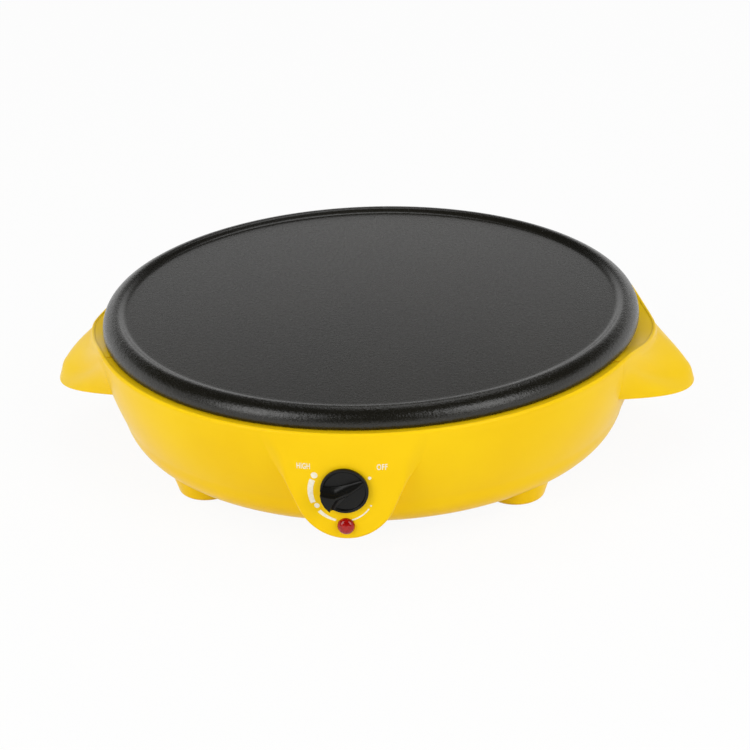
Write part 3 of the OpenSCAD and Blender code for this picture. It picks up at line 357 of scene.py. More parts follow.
def rounded(section, radius, steps=4):
    """The section with its inner corners rounded by a radius, all in millimetres."""
    out = [section[0]]
    for before, corner, after in zip(section, section[1:], section[2:]):
        a, c, b = (Vector(p) for p in (before, corner, after))
        r = min(radius, 0.45 * (a - c).length, 0.45 * (b - c).length)
        start, end = c + (a - c).normalized() * r, c + (b - c).normalized() * r
        out += [tuple(bent(start, c, end, i / steps)) for i in range(steps + 1)]
    return out + [section[-1]]


def bow(a, b, swell, steps):
    """Points from a to b on a shallow bow that swells to the left of the way."""
    a, b = Vector(a), Vector(b)
    across = Vector((-(b - a).y, (b - a).x)).normalized()
    return [tuple(a.lerp(b, t) + 4 * swell * t * (1 - t) * across)
            for t in (i / steps for i in range(steps + 1))]


def add_mesh(name, points, faces):
    """A new object from points in millimetres and faces that number them."""
    mesh = bpy.data.meshes.new(name)
    mesh.from_pydata([Vector(p) * MM for p in points], [], faces)
    piece = bpy.data.objects.new(name, mesh)
    scene.collection.objects.link(piece)
    return piece


def bevel(piece, width, segments, degrees):
    """Rounds the edges that are sharper than an angle; the width is in millimetres."""
    modifier = piece.modifiers.new("bevel", "BEVEL")
    modifier.width, modifier.segments, modifier.limit_method = width * MM, segments, "ANGLE"
    modifier.angle_limit = math.radians(degrees)
    bpy.ops.object.modifier_apply(modifier=modifier.name)


def in_place(piece, spin=None, shift=(0, 0, 0)):
    """Turns and moves a piece, then applies both, so its object sits at the origin."""
    pick(piece)
    if spin:
        piece.rotation_euler = [math.radians(a) for a in spin]
    piece.location = Vector(shift) * MM
    bpy.ops.object.transform_apply(location=True, rotation=True, scale=True)
    return piece


def smooth(piece, degrees=32.0):
    """Smooth shading, with edges sharper than the angle left crisp."""
    pick(piece)
    bpy.ops.object.shade_smooth_by_angle(angle=math.radians(degrees))
    return piece


def finish_piece(piece, material, slot, body, *stands_for):
    """Gives a piece its material and body, and hides the nodes it stands for. The slot is not used.
    """
    piece.data.materials.clear()
    piece.data.materials.append(material)
    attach(piece, body)
    if stands_for:
        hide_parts(*stands_for)
    print(piece.name, len(piece.data.polygons), "faces, box",
          [round(v / MM, 1) for v in piece.dimensions])
    return piece


def finish_yellow(piece, *stands_for):
    """Finishes a piece of the yellow mouldings, which all sit on the housing."""
    return finish_piece(piece, yellow_plastic, "yellow_plastic", "housing", *stands_for)


# %% [markdown]
# ## The griddle plate
# The plate is an aluminium casting, turned flat on top. A small lip keeps the batter in, then the
# edge rolls over and down to a skirt that hides the body's ledge. Its section is drawn once, with
# real fillets where the cooking surface meets the lip and at the skirt's foot.
# %% Griddle plate
PLATE_R, PLATE_Z, EDGE_H, EDGE_W, LIP_H = 152.4, 72.0, 9.5, 8.2, 2.5
SKIRT_T, SKIRT_Z, SLAB_T = 3.2, 71.15, 5.0
crest_r, crest_z = PLATE_R - EDGE_W, PLATE_Z + EDGE_H
surface_z = crest_z - LIP_H
slab_z = surface_z - SLAB_T

plate_section = [(0, surface_z), (70, surface_z)]
plate_section += rounded([(crest_r - 8, surface_z), (crest_r - 4.4, surface_z),
                          (crest_r - 1.6, crest_z - 0.5), (crest_r - 0.3, crest_z)], 2.2, 6)
plate_section += bow((crest_r + 1.6, crest_z - 0.12), (PLATE_R, SKIRT_Z + 1.2), 2.2, 14)
plate_section += [(PLATE_R - 0.1, SKIRT_Z + 0.6), (PLATE_R - 0.45, SKIRT_Z + 0.15),
                  (PLATE_R - 1.0, SKIRT_Z), (PLATE_R - SKIRT_T, SKIRT_Z),
                  (PLATE_R - SKIRT_T - 1.6, slab_z), (0, slab_z)]
print(len(plate_section), "points in the plate's section")
griddle = smooth(turn("griddle_plate_turned", plate_section, steps=320), 40)
finish_piece(griddle, nonstick, "nonstick_plate", "housing", "griddle_plate")

# %% [markdown]
# ## The bowl
# The body is one injection moulding: a bowl whose wall leans in to a rounded heel, with a round
# bead along its rim and a ledge close under the plate's skirt, so that no dark slot shows between
# them. The bead stops where it meets the ledge. The bowl itself is turned from its closed
# section, and the two windows that take the handles are cut with one long block whose sides lean
# like the seams.
# %% Bowl
RIM_R, RIM_Z, WALL_T, WALL_LEAN, WALL_SWELL = 157.0, 71.3, 2.8, 12.0, 1.8
STAND_H, FLOOR_T, HEEL_H, HEEL_W, HEEL_SWELL = 7.0, 4.0, 18.0, 20.0, 5.2
LEDGE_DROP, LEDGE_W, LEDGE_T = 0.45, 8.2, 2.2
COVER_R, COVER_OPENING_R, COVER_SEAT_Z = 100.4, 92.0, 9.6
WALL_TOP_Z, BEAD_END = 66, 132        # the top of the wall's inside; the bead's arc in degrees
bead_r = WALL_T / 2
heel_z, heel_r = STAND_H + HEEL_H, RIM_R - WALL_LEAN
floor_r, floor_z = heel_r - HEEL_W, STAND_H + FLOOR_T
ledge_z = RIM_Z - LEDGE_DROP


def wall_at(z):
    """Outer radius of the bowl's wall at a height."""
    t = (RIM_Z - z) / (RIM_Z - heel_z)
    return RIM_R - WALL_LEAN * t + 4 * WALL_SWELL * t * (1 - t)


def wall_points(z0, z1, inset, steps):
    """Points of the wall's outside between two heights, moved in by an inset."""
    return [(wall_at(z) - inset, z) for z in (z0 + (z1 - z0) * i / steps for i in range(steps + 1))]


outer_section = bow((heel_r, heel_z), (floor_r, STAND_H), HEEL_SWELL, 14)[::-1]
outer_section += wall_points(heel_z + 2, RIM_Z - bead_r - 1.5, 0, 14)
bead = [(RIM_R - bead_r + bead_r * math.cos(math.radians(a)),
         RIM_Z - bead_r + bead_r * math.sin(math.radians(a))) for a in range(0, BEAD_END + 1, 12)]
ledge_in = RIM_R - WALL_T - LEDGE_W
bowl_section = [(COVER_OPENING_R, floor_z), (COVER_OPENING_R, COVER_SEAT_Z),
                (COVER_R, COVER_SEAT_Z), (COVER_R, STAND_H + 0.5), (COVER_R + 0.5, STAND_H)]
bowl_section += outer_section + bead
bowl_section += [(RIM_R - WALL_T + 0.1, ledge_z), (ledge_in + 0.5, ledge_z),
                 (ledge_in, ledge_z - 0.5), (ledge_in, ledge_z - LEDGE_T),
                 (wall_at(WALL_TOP_Z) - WALL_T, ledge_z - LEDGE_T)]
bowl_section += wall_points(WALL_TOP_Z, heel_z + 2, WALL_T, 8)
bowl_section += bow((heel_r - WALL_T, heel_z), (floor_r - 1, floor_z), HEEL_SWELL * 0.75, 8)
bowl_section += [(COVER_OPENING_R, floor_z)]
bowl = turn("body_bowl", bowl_section, steps=320)

# %% Windows for the handles
EAR_HALF_W, EAR_ROOT_Z, SEAM_GAP, SEAM_LEAN = 59.0, 45.0, 0.3, 0.262


def seam_y(z):
    """Half width of a handle's seam at a height: the seam leans with the wall."""
    return EAR_HALF_W + SEAM_LEAN * (z - EAR_ROOT_Z)


def block(name, outline, start, length):
    """A prism along X: an outline of (y, z) in millimetres, from x = start."""
    piece = trace(name, [(start, y, z) for y, z in outline + outline[:1]])
    bpy.ops.mesh.remove_doubles(threshold=MERGE)
    bpy.ops.mesh.edge_face_add()
    bpy.ops.mesh.extrude_region_move(TRANSFORM_OT_translate={"value": (length * MM, 0, 0)})
    return close_up(piece)


def carve(piece, cutter):
    """Cuts a piece with a cutter by an exact boolean, and deletes the cutter."""
    pick(piece)
    modifier = piece.modifiers.new("cut", "BOOLEAN")
    modifier.operation, modifier.solver, modifier.object = "DIFFERENCE", "EXACT", cutter
    bpy.ops.object.modifier_apply(modifier=modifier.name)
    bpy.data.objects.remove(cutter)


low, high, reach = EAR_ROOT_Z - SEAM_GAP, RIM_Z + 9, 185
low_y, high_y = seam_y(low) + SEAM_GAP, seam_y(high) + SEAM_GAP
window = block("window", [(-low_y, low), (low_y, low), (high_y, high), (-high_y, high)],
               -reach, 2 * reach)
carve(bowl, window)
smooth(bowl, 30)
finish_yellow(bowl, "body_shell")

# %% [markdown]
# ## The wall behind each handle
# Behind a handle the moulding steps back and carries the handle's root, with a narrow shelf on top
# that is just visible under the plate's edge. It is a short arc of a second section, so the same
# lathe turns it, through 58 degrees only, and its two ends are filled.
# %% Backing walls
POCKET_D, BACKING_T, SILL_Z, SILL_W, SILL_T = 3.1, 2.6, 57.0, 9.0, 2.2
BACKING_DEGREES = 58
SIDES = (("right", 0), ("left", 180))     # and each side's turn in degrees


def cap(piece):
    """Fills the open ends of a piece."""
    pick(piece)
    bpy.ops.object.mode_set(mode="EDIT")
    bpy.ops.mesh.select_all(action="SELECT")
    bpy.ops.mesh.fill_holes(sides=0)
    return close_up(piece)


def turned_arc(name, section, degrees, middle, steps=48):
    """An arc of a closed section, with filled ends, centred on an angle."""
    piece = cap(turn(name, section, steps, degrees))
    total = sum((Vector(v.co) for v in piece.data.vertices), Vector())
    return in_place(piece, (0, 0, middle - math.degrees(math.atan2(total.y, total.x))))


sill_r = wall_at(SILL_Z) - POCKET_D
backing_section = wall_points(EAR_ROOT_Z - 4, SILL_Z - 0.6, POCKET_D, 6)
backing_section += [(sill_r - 0.6, SILL_Z), (sill_r - SILL_W, SILL_Z),
                    (sill_r - SILL_W, SILL_Z - SILL_T)]
backing_section += wall_points(SILL_Z - SILL_T, EAR_ROOT_Z - 4, POCKET_D + BACKING_T, 6)
backing_section += backing_section[:1]
for side, middle in SIDES:
    backing = turned_arc(f"{side}_backing_wall", backing_section, BACKING_DEGREES, middle)
    finish_yellow(smooth(backing))

# %% [markdown]
# ## The boss in front
# The boss is a shield-shaped patch that stays upright where the bowl's wall leans away, so it
# stands proud at its tip and melts into the wall below the rim. A toolmaker rounds its edge at
# the tip and lets it run out in a soft S towards the rim. No operator rounds an edge that changes
# like this, so the skin is laid by numbers: rows across the face, then rings that roll over the
# edge and run back into the wall.
# %% Front boss
BOSS_TIP_Z, BOSS_TIP_R, BOSS_SIDE, BOSS_EDGE = 11.3, 26.9, math.radians(23.6), 1.5
BOSS_SINK = 1.4                       # how deep its back lies in the wall
SOFT_START, SOFT_RUN = 40.0, 18.0     # the edge softens from this height on, over so much
SOFT_IN, SOFT_OUT = 6, -3             # where the soft edge starts and ends, in from the outline
BOSS_ROW_STEPS, BOSS_SIDE_STEPS, BOSS_TIP_STEPS = 24, 16, 28
boss_top_z = RIM_Z - bead_r
boss_centre_z = BOSS_TIP_Z + BOSS_TIP_R


def outer_radius(z):
    """Radius of the bowl's outside at a height, heel and wall alike."""
    for (r0, z0), (r1, z1) in zip(outer_section, outer_section[1:]):
        if z0 <= z <= z1:
            return r0 + (r1 - r0) * (z - z0) / (z1 - z0)
    return RIM_R


def edge_point(step, inset):
    """A point (half width, height) of the outline from its top corner to the tip, moved in."""
    r = BOSS_TIP_R - inset
    foot = Vector((r * math.cos(BOSS_SIDE), boss_centre_z - r * math.sin(BOSS_SIDE)))
    if step < BOSS_SIDE_STEPS:
        top_x = foot.x + (boss_top_z - foot.y) * math.tan(BOSS_SIDE)
        return tuple(Vector((top_x, boss_top_z)).lerp(foot, step / BOSS_SIDE_STEPS))
    turn_by = BOSS_SIDE + (math.pi / 2 - BOSS_SIDE) * (step - BOSS_SIDE_STEPS) / BOSS_TIP_STEPS
    return r * math.cos(turn_by), boss_centre_z - r * math.sin(turn_by)


def proud(z):
    """How far the boss's face stands in front of the wall at a height."""
    return RIM_R - outer_radius(z)


def softness(z):
    """0 where the boss has a crisp rolled edge, 1 towards the rim, where it melts into the wall."""
    return ease((z - SOFT_START) / SOFT_RUN)


def boss_rows(inset, radius):
    """Rows across the boss: inset(soft) is how far its edge moves in, radius(z, soft) its depth."""
    rows = []
    for step in range(BOSS_SIDE_STEPS + BOSS_TIP_STEPS + 1):
        soft = softness(edge_point(step, 0)[1])
        half, z = edge_point(step, inset(soft))
        r = radius(z, soft)
        xs = [half * (2 * j / BOSS_ROW_STEPS - 1) for j in range(BOSS_ROW_STEPS + 1)]
        rows.append([(x, -math.sqrt(r * r - x * x), z) for x in xs])
    return rows


def rim_of(rows):
    """The closed loop around a set of rows: down the left edge, up the right, back over the top."""
    return [row[0] for row in rows] + [row[-1] for row in rows[-2::-1]] + rows[0][-2:0:-1]


def skin_of(name, grids, loops):
    """A mesh from faces of rows (grids) and rings of equal length (loops), in millimetres."""
    points, faces = [], []
    for rows in grids:
        base, width = len(points), len(rows[0])
        points += [p for row in rows for p in row]
        faces += [(base + i * width + j, base + i * width + j + 1,
                   base + (i + 1) * width + j + 1, base + (i + 1) * width + j)
                  for i in range(len(rows) - 1) for j in range(width - 1)]
    for first, second in zip(loops, loops[1:]):
        base, count = len(points), len(first)
        points += list(first) + list(second)
        faces += [(base + i, base + (i + 1) % count, base + count + (i + 1) % count,
                   base + count + i) for i in range(count)]
    piece = add_mesh(name, points, faces)
    pick(piece)
    bpy.ops.object.mode_set(mode="EDIT")
    return close_up(piece)


def rolled(t):
    """The loop around the boss at a share of the way over its edge: a round roll, or a soft S."""
    angle = math.radians(90 * t)
    return rim_of(boss_rows(
        lambda soft: mix(mix(BOSS_EDGE, 0, math.sin(angle)), mix(SOFT_IN, SOFT_OUT, t), soft),
        lambda z, soft: RIM_R - mix(min(BOSS_EDGE, proud(z)) * (1 - math.cos(angle)),
                                    (proud(z) + 0.12) * ease(t), soft)))


face_rows = boss_rows(lambda soft: mix(BOSS_EDGE, SOFT_IN, soft), lambda z, soft: RIM_R)
boss_loops = [rolled(i / 10) for i in range(11)]
back_rows = boss_rows(lambda soft: mix(0, SOFT_OUT, soft),
                      lambda z, soft: min(RIM_R - BOSS_EDGE, outer_radius(z)) - BOSS_SINK)
boss_loops.append(rim_of(back_rows))
boss = smooth(skin_of("body_boss", [face_rows, back_rows], boss_loops), 50)
finish_yellow(boss, "body_shell")

# %% [markdown]
# ## Foot pods and the cord's pad
# Each pod is a stub that drops out of the heel and holds a rubber foot in a shallow recess. At
# the rear a round pad gives the cord gland a flat seat. All are turned and then moved into place;
# the pod is made once and copied, each copy with a mesh of its own.
# %% Pods and pad
POD_RING_R, POD_TOP_R, POD_R, POD_BASE_Z, POD_TOP_Z = 119.5, 19.8, 16.4, 0.8, 15.0
POD_EDGE, FOOT_RECESS_R, FOOT_RECESS_Z = 3.0, 8.2, 2.9
PAD_R, PAD_DEPTH, PAD_ROUND, PAD_Y, CORD_Z = 15.0, 24, 1.2, 152.0, 30.0

pod_section = [(0, FOOT_RECESS_Z), (FOOT_RECESS_R, FOOT_RECESS_Z),
               (FOOT_RECESS_R, POD_BASE_Z + 0.2), (FOOT_RECESS_R + 0.2, POD_BASE_Z)]
pod_section += bow((POD_R - POD_EDGE, POD_BASE_Z), (POD_R, POD_BASE_Z + POD_EDGE), -0.85, 6)
pod_section += [(POD_TOP_R - 1, 11.5), (POD_TOP_R, POD_TOP_Z), (0, POD_TOP_Z)]
pod = smooth(turn("pod", pod_section, steps=96))
for name, angle in (("rear_right", 45), ("rear_left", 135), ("front_left", 225),
                    ("front_right", 315)):
    twin = pod.copy()
    twin.data = pod.data.copy()
    twin.name = f"{name}_pod"
    scene.collection.objects.link(twin)
    at = math.radians(angle)
    in_place(twin, None, (POD_RING_R * math.cos(at), POD_RING_R * math.sin(at), 0))
    finish_yellow(twin, "body_shell")
bpy.data.objects.remove(pod)

pad_section = [(0, -PAD_DEPTH), (PAD_R, -PAD_DEPTH)]
pad_section += bow((PAD_R, -PAD_ROUND), (PAD_R - PAD_ROUND, 0), -0.35, 4) + [(0, 0)]
pad = smooth(turn("cord_pad", pad_section, steps=96))
in_place(pad, (-90, 0, 0), (0, PAD_Y, CORD_Z))
finish_yellow(pad, "body_shell")

# %% [markdown]
# ## The handles
# A handle is a free form: its rim dips and bulges, its upper face is hollowed for the thumb, and
# a shoulder runs from each seam to the tip. Boat builders lay such a skin over cross-sections,
# and so does this cell: each section is a closed loop of points, the sections follow each other
# from seam to seam, and the loops are joined. One handle is made; the other is the same skin
# turned half round.
# %% Sections of a handle
EAR_REACH, EAR_UNDER, EAR_DROP, EAR_DIP, EAR_BULGE = 184.6, 2.2, 14.3, 7.4, 5.4
EAR_DISH, EAR_T, ROOT_SOLID, SEAT = 1.6, 3.0, 0.93, 0.1
SHOULDER_ROOT_Z, SHOULDER_TIP_Z, SHOULDER_R = RIM_Z - 8.0, EAR_ROOT_Z - 6, 3.0
# How each line of the handle falls from its middle to the seam: the two powers of a bell curve
BULGE_FALL, DIP_FALL, DROP_FALL = (1.62, 3), (2.95, 3), (1.77, 1)
SHOULDER_FALL, SHOULDER_REACH_FALL = (2.7, 2.0), (1.6, 2.93)
# In the middle: where the upper face starts from the bead's end, and how it swells from straight
BEAD_FOOT, DOME_SWELL = Vector((0.5, 0, -3.4)), Vector((0.9, 0, 2.8))


def bell(a, p, q):
    """A bell curve from 1 in the middle of a handle to 0 at the seam."""
    return 0.0 if a >= 1 else (1 - a ** p) ** q


def rim_at(a):
    """Radius and height of the top of a handle's rim."""
    return RIM_R + EAR_BULGE * bell(a, *BULGE_FALL), RIM_Z - EAR_DIP * bell(a, *DIP_FALL)


def on_wall(side, a, r, z):
    """A point on a cylinder of radius r, at a share a of the way to the seam on one side."""
    y = side * a * seam_y(z)
    return Vector((math.sqrt(r * r - y * y), y, z))


def to_tip(side, a, r, z, reach, share):
    """A point between the wall and the reach of the tip."""
    start = on_wall(side, a, r, z)
    return Vector((mix(start.x, reach, share), start.y, z))


def curve(a, corner, b, steps):
    """Points along the bent line from a to b, without the first."""
    return [bent(a, corner, b, (i + 1) / steps) for i in range(steps)]


def handle_section(side, a):
    """One closed section: a is 0 in the middle of the handle and 1 at its seam."""
    rim_r, rim_z = rim_at(a)
    lip = on_wall(side, a, wall_at(SILL_Z) - WALL_T, SILL_Z)
    bead = [on_wall(side, a, rim_r - bead_r + bead_r * math.cos(w),
                    rim_z - bead_r + bead_r * math.sin(w))
            for w in (math.radians(180 - 20 * i) for i in range(10))]
    shoulder_z = mix(SHOULDER_ROOT_Z, SHOULDER_TIP_Z, bell(a, *SHOULDER_FALL))
    shoulder = to_tip(side, a, wall_at(SHOULDER_ROOT_Z), shoulder_z, EAR_REACH - EAR_UNDER,
                      bell(a, *SHOULDER_REACH_FALL))
    foot_z = EAR_ROOT_Z - EAR_DROP * bell(a, *DROP_FALL)
    foot = to_tip(side, a, wall_at(EAR_ROOT_Z), foot_z, EAR_REACH, bell(a, *DROP_FALL))
    # The upper face leaves the bead steeply, swells, and rolls over the shoulder
    top = bead[-1]
    round_off = min(SHOULDER_R, 0.35 * (shoulder - top).length, 0.45 * (foot - shoulder).length)
    above = shoulder + round_off * (top - shoulder).normalized()
    below = shoulder + round_off * (foot - shoulder).normalized()
    steep = ease((1 - a) / 0.45)
    foot_of_bead = top + BEAD_FOOT * steep
    dome = (foot_of_bead + above) / 2 + DOME_SWELL * steep
    outer = [lip.lerp(bead[0], t) for t in (0, 0.33, 0.67)] + bead
    outer += [top.lerp(foot_of_bead, t) for t in (0.34, 0.67, 1)]
    outer += curve(foot_of_bead, dome, above, 12) + curve(above, shoulder, below, 8)
    outer += [below.lerp(foot, t) for t in (0.25, 0.5, 0.75, 1)]
    # The under side, from the lower edge back to the lip
    inner_a = min(1.0, a / ROOT_SOLID)
    hollowed, inside = ease((ROOT_SOLID - a) / 0.4), WALL_T + SEAT
    knee_z = mix(EAR_ROOT_Z + 5, shoulder_z - 0.8 * EAR_T, ease((ROOT_SOLID - a) / 0.25))
    apex_z = mix(EAR_ROOT_Z + 8, rim_z - EAR_T - 0.6, hollowed)
    root_r = wall_at(foot_z) + 1 if foot_z < EAR_ROOT_Z - 0.9 else wall_at(EAR_ROOT_Z) - inside
    foot_in = to_tip(side, a, root_r, foot_z, EAR_REACH - EAR_T, bell(inner_a, *DROP_FALL))
    knee = to_tip(side, a, wall_at(knee_z) - inside, knee_z, EAR_REACH - EAR_UNDER - 0.4 - EAR_T,
                  bell(inner_a, *SHOULDER_REACH_FALL))
    apex = on_wall(side, a, mix(wall_at(apex_z) - inside, rim_r - bead_r, hollowed), apex_z)
    shelf = on_wall(side, a, wall_at(SILL_Z - 2.2) - inside, SILL_Z - 2.2)
    under = [knee.lerp(apex, t) - Vector((0, 0, 4 * t * (1 - t) * EAR_DISH * hollowed))
             for t in (0.2, 0.4, 0.6, 0.8)]
    return outer + [foot_in, knee] + under + [apex, shelf]


# %% The two handles
HANDLE_STEPS = 44


def seam_to_seam(section_at, stations):
    """The sections from one seam over the middle to the other; stations run from 1 to 0."""
    return ([section_at(-1, a) for a in stations]
            + [section_at(1, a) for a in stations[-2::-1]])


# The stations lie closer together near the seams, where the form changes fast
sections = seam_to_seam(handle_section,
                        [1 - (i / HANDLE_STEPS) ** 1.4 for i in range(HANDLE_STEPS + 1)])
print(len(sections), "sections of", len(sections[0]), "points")


def handle(name, degrees):
    """Joins the sections, fills both ends, rounds the sharp edges and turns the piece."""
    count, last = len(sections[0]), len(sections) - 1
    faces = [(i * count + j, i * count + (j + 1) % count, (i + 1) * count + (j + 1) % count,
              (i + 1) * count + j) for i in range(last) for j in range(count)]
    faces += [tuple(range(count)), tuple(range(last * count, (last + 1) * count))]
    piece = add_mesh(name, [p for section in sections for p in section], faces)
    pick(piece)
    bpy.ops.object.mode_set(mode="EDIT")
    close_up(piece)
    bevel(piece, 0.5, 3, 48)
    return smooth(in_place(piece, (0, 0, degrees)), 50)


for side, degrees in SIDES:
    finish_yellow(handle(f"{side}_handle_skin", degrees), f"{side}_handle")

# %% [markdown]
# ## The ledge behind each handle's rim
# The bowl's ledge under the plate's edge would stop at the windows. On the real body it goes on
# behind the handle and dips with its rim. It is a thin strip, lofted like the handle.
# %% Ledge strips
LEDGE_STEPS, LEDGE_END = 30, 0.992        # the strip ends just short of the seam


def ledge_section(side, a):
    """The strip's section: its outer side lies inside the handle's bead."""
    rim_r, rim_z = rim_at(a)
    top = rim_z - LEDGE_DROP + 0.1
    inside, outside = ledge_in, rim_r - WALL_T + 0.7
    ring = [(outside, top), (inside + 0.5, top), (inside, top - 0.5), (inside, top - LEDGE_T),
            (outside, top - LEDGE_T)]
    return [on_wall(side, a, r, z) for r, z in ring]


ledge_loops = seam_to_seam(ledge_section,
                           [LEDGE_END * (1 - i / LEDGE_STEPS) for i in range(LEDGE_STEPS + 1)])
for side, degrees in SIDES:
    strip = in_place(cap(skin_of(f"{side}_ledge", [], ledge_loops)), (0, 0, degrees))
    finish_yellow(smooth(strip), f"{side}_handle")

# %% [markdown]
# ## The lamp
# The lamp's lens is a clear red dome with a thin flange. It is turned like the rest. Its plastic
# lets a little light through, and its skin is polished. A faint emission paints a glow on the
# dome where light would leave it again.
# %% Lamp lens
KNOB_Z, LAMP_DROP, LENS_R, LENS_H, FLANGE_H = 40.2, 20.8, 4.5, 3.6, 0.5
lamp_z = KNOB_Z - LAMP_DROP

red_lens, tree, shader = new_material("red_lens")
ribs = add_node(tree, "ShaderNodeTexVoronoi", Vector=object_place(tree), Scale=420.0)
red = ramp(tree, ribs.outputs["Distance"], 0.1, 0.8, (0.55, 0.010, 0.006), (0.36, 0.003, 0.003))
# The faint emission is a painted glow; no lamp inside the dome is lit
give(shader, Base_Color=red, Roughness=0.07, IOR=1.49, Transmission_Weight=0.25,
     Emission_Color=(0.5, 0.006, 0.004, 1), Emission_Strength=0.04)

lens_section = [(0, 0), (LENS_R - 0.1, 0), (LENS_R, 0.15)]
lens_section += [(LENS_R * math.cos(a), FLANGE_H + (LENS_H - FLANGE_H) * math.sin(a))
                 for a in (math.radians(6 * i) for i in range(15))]
lens_section += [(0, LENS_H)]
lens = smooth(turn("lamp_dome", lens_section, steps=96), 60)
in_place(lens, (90, 0, 0), (0, -RIM_R, lamp_z))
finish_piece(lens, red_lens, "red_lens", "housing", "lamp_lens")

# %% [markdown]
# ## The knob
# The knob is a satin black moulding: a disc with a thin raised ring, and a grip whose crest runs
# from a broad tail to a pointer. The disc is turned. The grip's flanks are scooped for finger and
# thumb, so it is a lofted skin again: cross-sections with a flat crest and hollow sides, laid
# from tail to pointer. The tail's end follows the disc's edge. A narrow bevel gives the crest its
# thin bright lines.
# %% Black plastic
satin_black = moulded_plastic("satin_black", (0.0045, 0.0045, 0.004), (0.008, 0.0078, 0.007),
                              (0.22, 0.32), 0.00003, 0.000006, 1800.0, Specular_IOR_Level=0.20)
print("made", satin_black.name)

# %% Knob disc
KNOB_R, DISC_GAP, DISC_H, GRIP_H, POINTER_A = 12.4, 0.5, 2.3, 7.3, 26.0
disc_face_z = DISC_H - 0.9


def on_boss(piece):
    """Stands a piece made around Z upright on the boss, in front of the shaft."""
    in_place(piece, (0, 0, POINTER_A))
    return in_place(piece, (90, 0, 0), (0, -RIM_R, KNOB_Z))


disc_section = rounded([(0, disc_face_z), (KNOB_R - 1.75, disc_face_z), (KNOB_R - 1.3, DISC_H),
                        (KNOB_R, DISC_H), (KNOB_R, DISC_GAP), (0, DISC_GAP)], 0.28, 4)
disc = smooth(on_boss(turn("knob_disc", disc_section, steps=160)), 60)
finish_piece(disc, satin_black, "black_plastic", "control_knob", "knob")

# %% Knob grip
GRIP_STATIONS, GRIP_SIDE = 48, 10
TAIL_U, TIP_U = -(KNOB_R - 0.45), KNOB_R - 1.0      # the grip's ends along the pointer
FLARE_U, SLOPE_U = -4.2, 2.0          # where the crest starts to flare, and to slope down


def foot_half(u):
    """Half width of the grip's foot: narrow at the pointer, broad at the tail."""
    t = (11.7 - u) / 23.4
    return 1.6 + 2.6 * t + 3.4 * t ** 2.6


def crest_half(u):
    """Half width of the crest: a thin ridge that flares over the tail."""
    return 0.45 + (4.9 * ((FLARE_U - u) / 7.75) ** 1.2 if u < FLARE_U else 0)


def grip_top(u):
    """Height of the crest: level, then falling to the pointer."""
    return GRIP_H - (5.0 * ((u - SLOPE_U) / 10) ** 1.5 if u > SLOPE_U else 0)


def grip_section(u):
    """Left foot, hollow flank, crest, hollow flank, right foot; u runs along the pointer."""
    crest_w, top, base = crest_half(u), grip_top(u), disc_face_z + 0.5
    foot_w = max(foot_half(u), crest_w + 0.2)
    bend_w, bend_z = mix(crest_w, foot_w, 0.16), mix(base, top, 0.26)
    flank = [(bent(foot_w, bend_w, crest_w, t), bent(base, bend_z, top, t))
             for t in (i / GRIP_SIDE for i in range(GRIP_SIDE + 1))]
    half = [(foot_w, base - 0.6)] + flank + [(crest_w * 0.34, top)]
    section = [(-v, z) for v, z in half] + [(v, z) for v, z in half[::-1]]
    # Behind the middle, points move in along circles, so that the tail ends on the disc's edge
    edge_r = KNOB_R - 0.15
    return [Vector((u * math.sqrt(max(0.05, 1 - (v / edge_r) ** 2)) if u < 0 else u, v, z))
            for v, z in section]


grip = cap(skin_of("knob_grip", [], [grip_section(mix(TAIL_U, TIP_U, i / GRIP_STATIONS))
                                     for i in range(GRIP_STATIONS + 1)]))
bevel(grip, 0.16, 2, 38)
smooth(on_boss(grip), 45)
finish_piece(grip, satin_black, "black_plastic", "control_knob", "knob")

# %% [markdown]
# ## The printed scale
# The scale is pad-printed in cream ink: a fat arc that thins from HIGH down to a hairline, dots
# at its ends, and two words. Ink has almost no thickness, so the print is a flat mesh, laid on
# the boss's round face a twentieth of a millimetre proud. Text is made a mesh first and then bent
# the same way.
# %% Ink
cream_ink, tree, shader = new_material("cream_ink")
place = object_place(tree)
ink = ramp(tree, noise(tree, place, 700.0, 3.0), 0.35, 0.7, (0.88, 0.80, 0.60), (0.95, 0.90, 0.76))
give(shader, Base_Color=ink, Roughness=0.5)
relief(tree, shader, (noise(tree, place, 2200.0), 0.00001))

INK_R, PRINT_Z = RIM_R + 0.05, 72.0       # the print's radius, and the height its words count from
CAPITAL_SHARE, FATTEN = 0.69, 0.09        # capitals per font size, and how far strokes swell


def lay_on_boss(piece):
    """Bends a flat piece in the XZ plane (millimetres times MM) on to the boss's face."""
    for vertex in piece.data.vertices:
        x = vertex.co.x
        vertex.co.y = -math.sqrt((INK_R * MM) ** 2 - x * x)
    return finish_piece(piece, cream_ink, "white_wire", "housing")


def word(name, text, centre, height, squeeze):
    """A word as a flat mesh, centred on (x, z), with capitals of a height."""
    nothing_selected()
    bpy.ops.object.text_add()
    piece = bpy.context.object
    piece.name = name
    piece.data.body, piece.data.align_x, piece.data.align_y = text, "CENTER", "CENTER"
    piece.data.size = height / CAPITAL_SHARE * MM
    piece.data.offset = FATTEN * MM
    piece.data.space_character = 1.1
    bpy.ops.object.convert(target="MESH")
    piece = bpy.context.object
    piece.scale = (squeeze, 1, 1)
    bpy.ops.object.transform_apply(location=True, rotation=True, scale=True)
    low = [min(v.co[k] for v in piece.data.vertices) for k in (0, 1)]
    high = [max(v.co[k] for v in piece.data.vertices) for k in (0, 1)]
    for vertex in piece.data.vertices:
        x, z = vertex.co.x - (low[0] + high[0]) / 2, vertex.co.y - (low[1] + high[1]) / 2
        vertex.co = (x + centre[0] * MM, 0, z + (PRINT_Z + centre[1]) * MM)
    return lay_on_boss(piece)


word("high_word", "HIGH", (-20.8, -19.2), 3.1, 0.62)
word("off_word", "OFF", (19.4, -19.2), 3.1, 0.66)

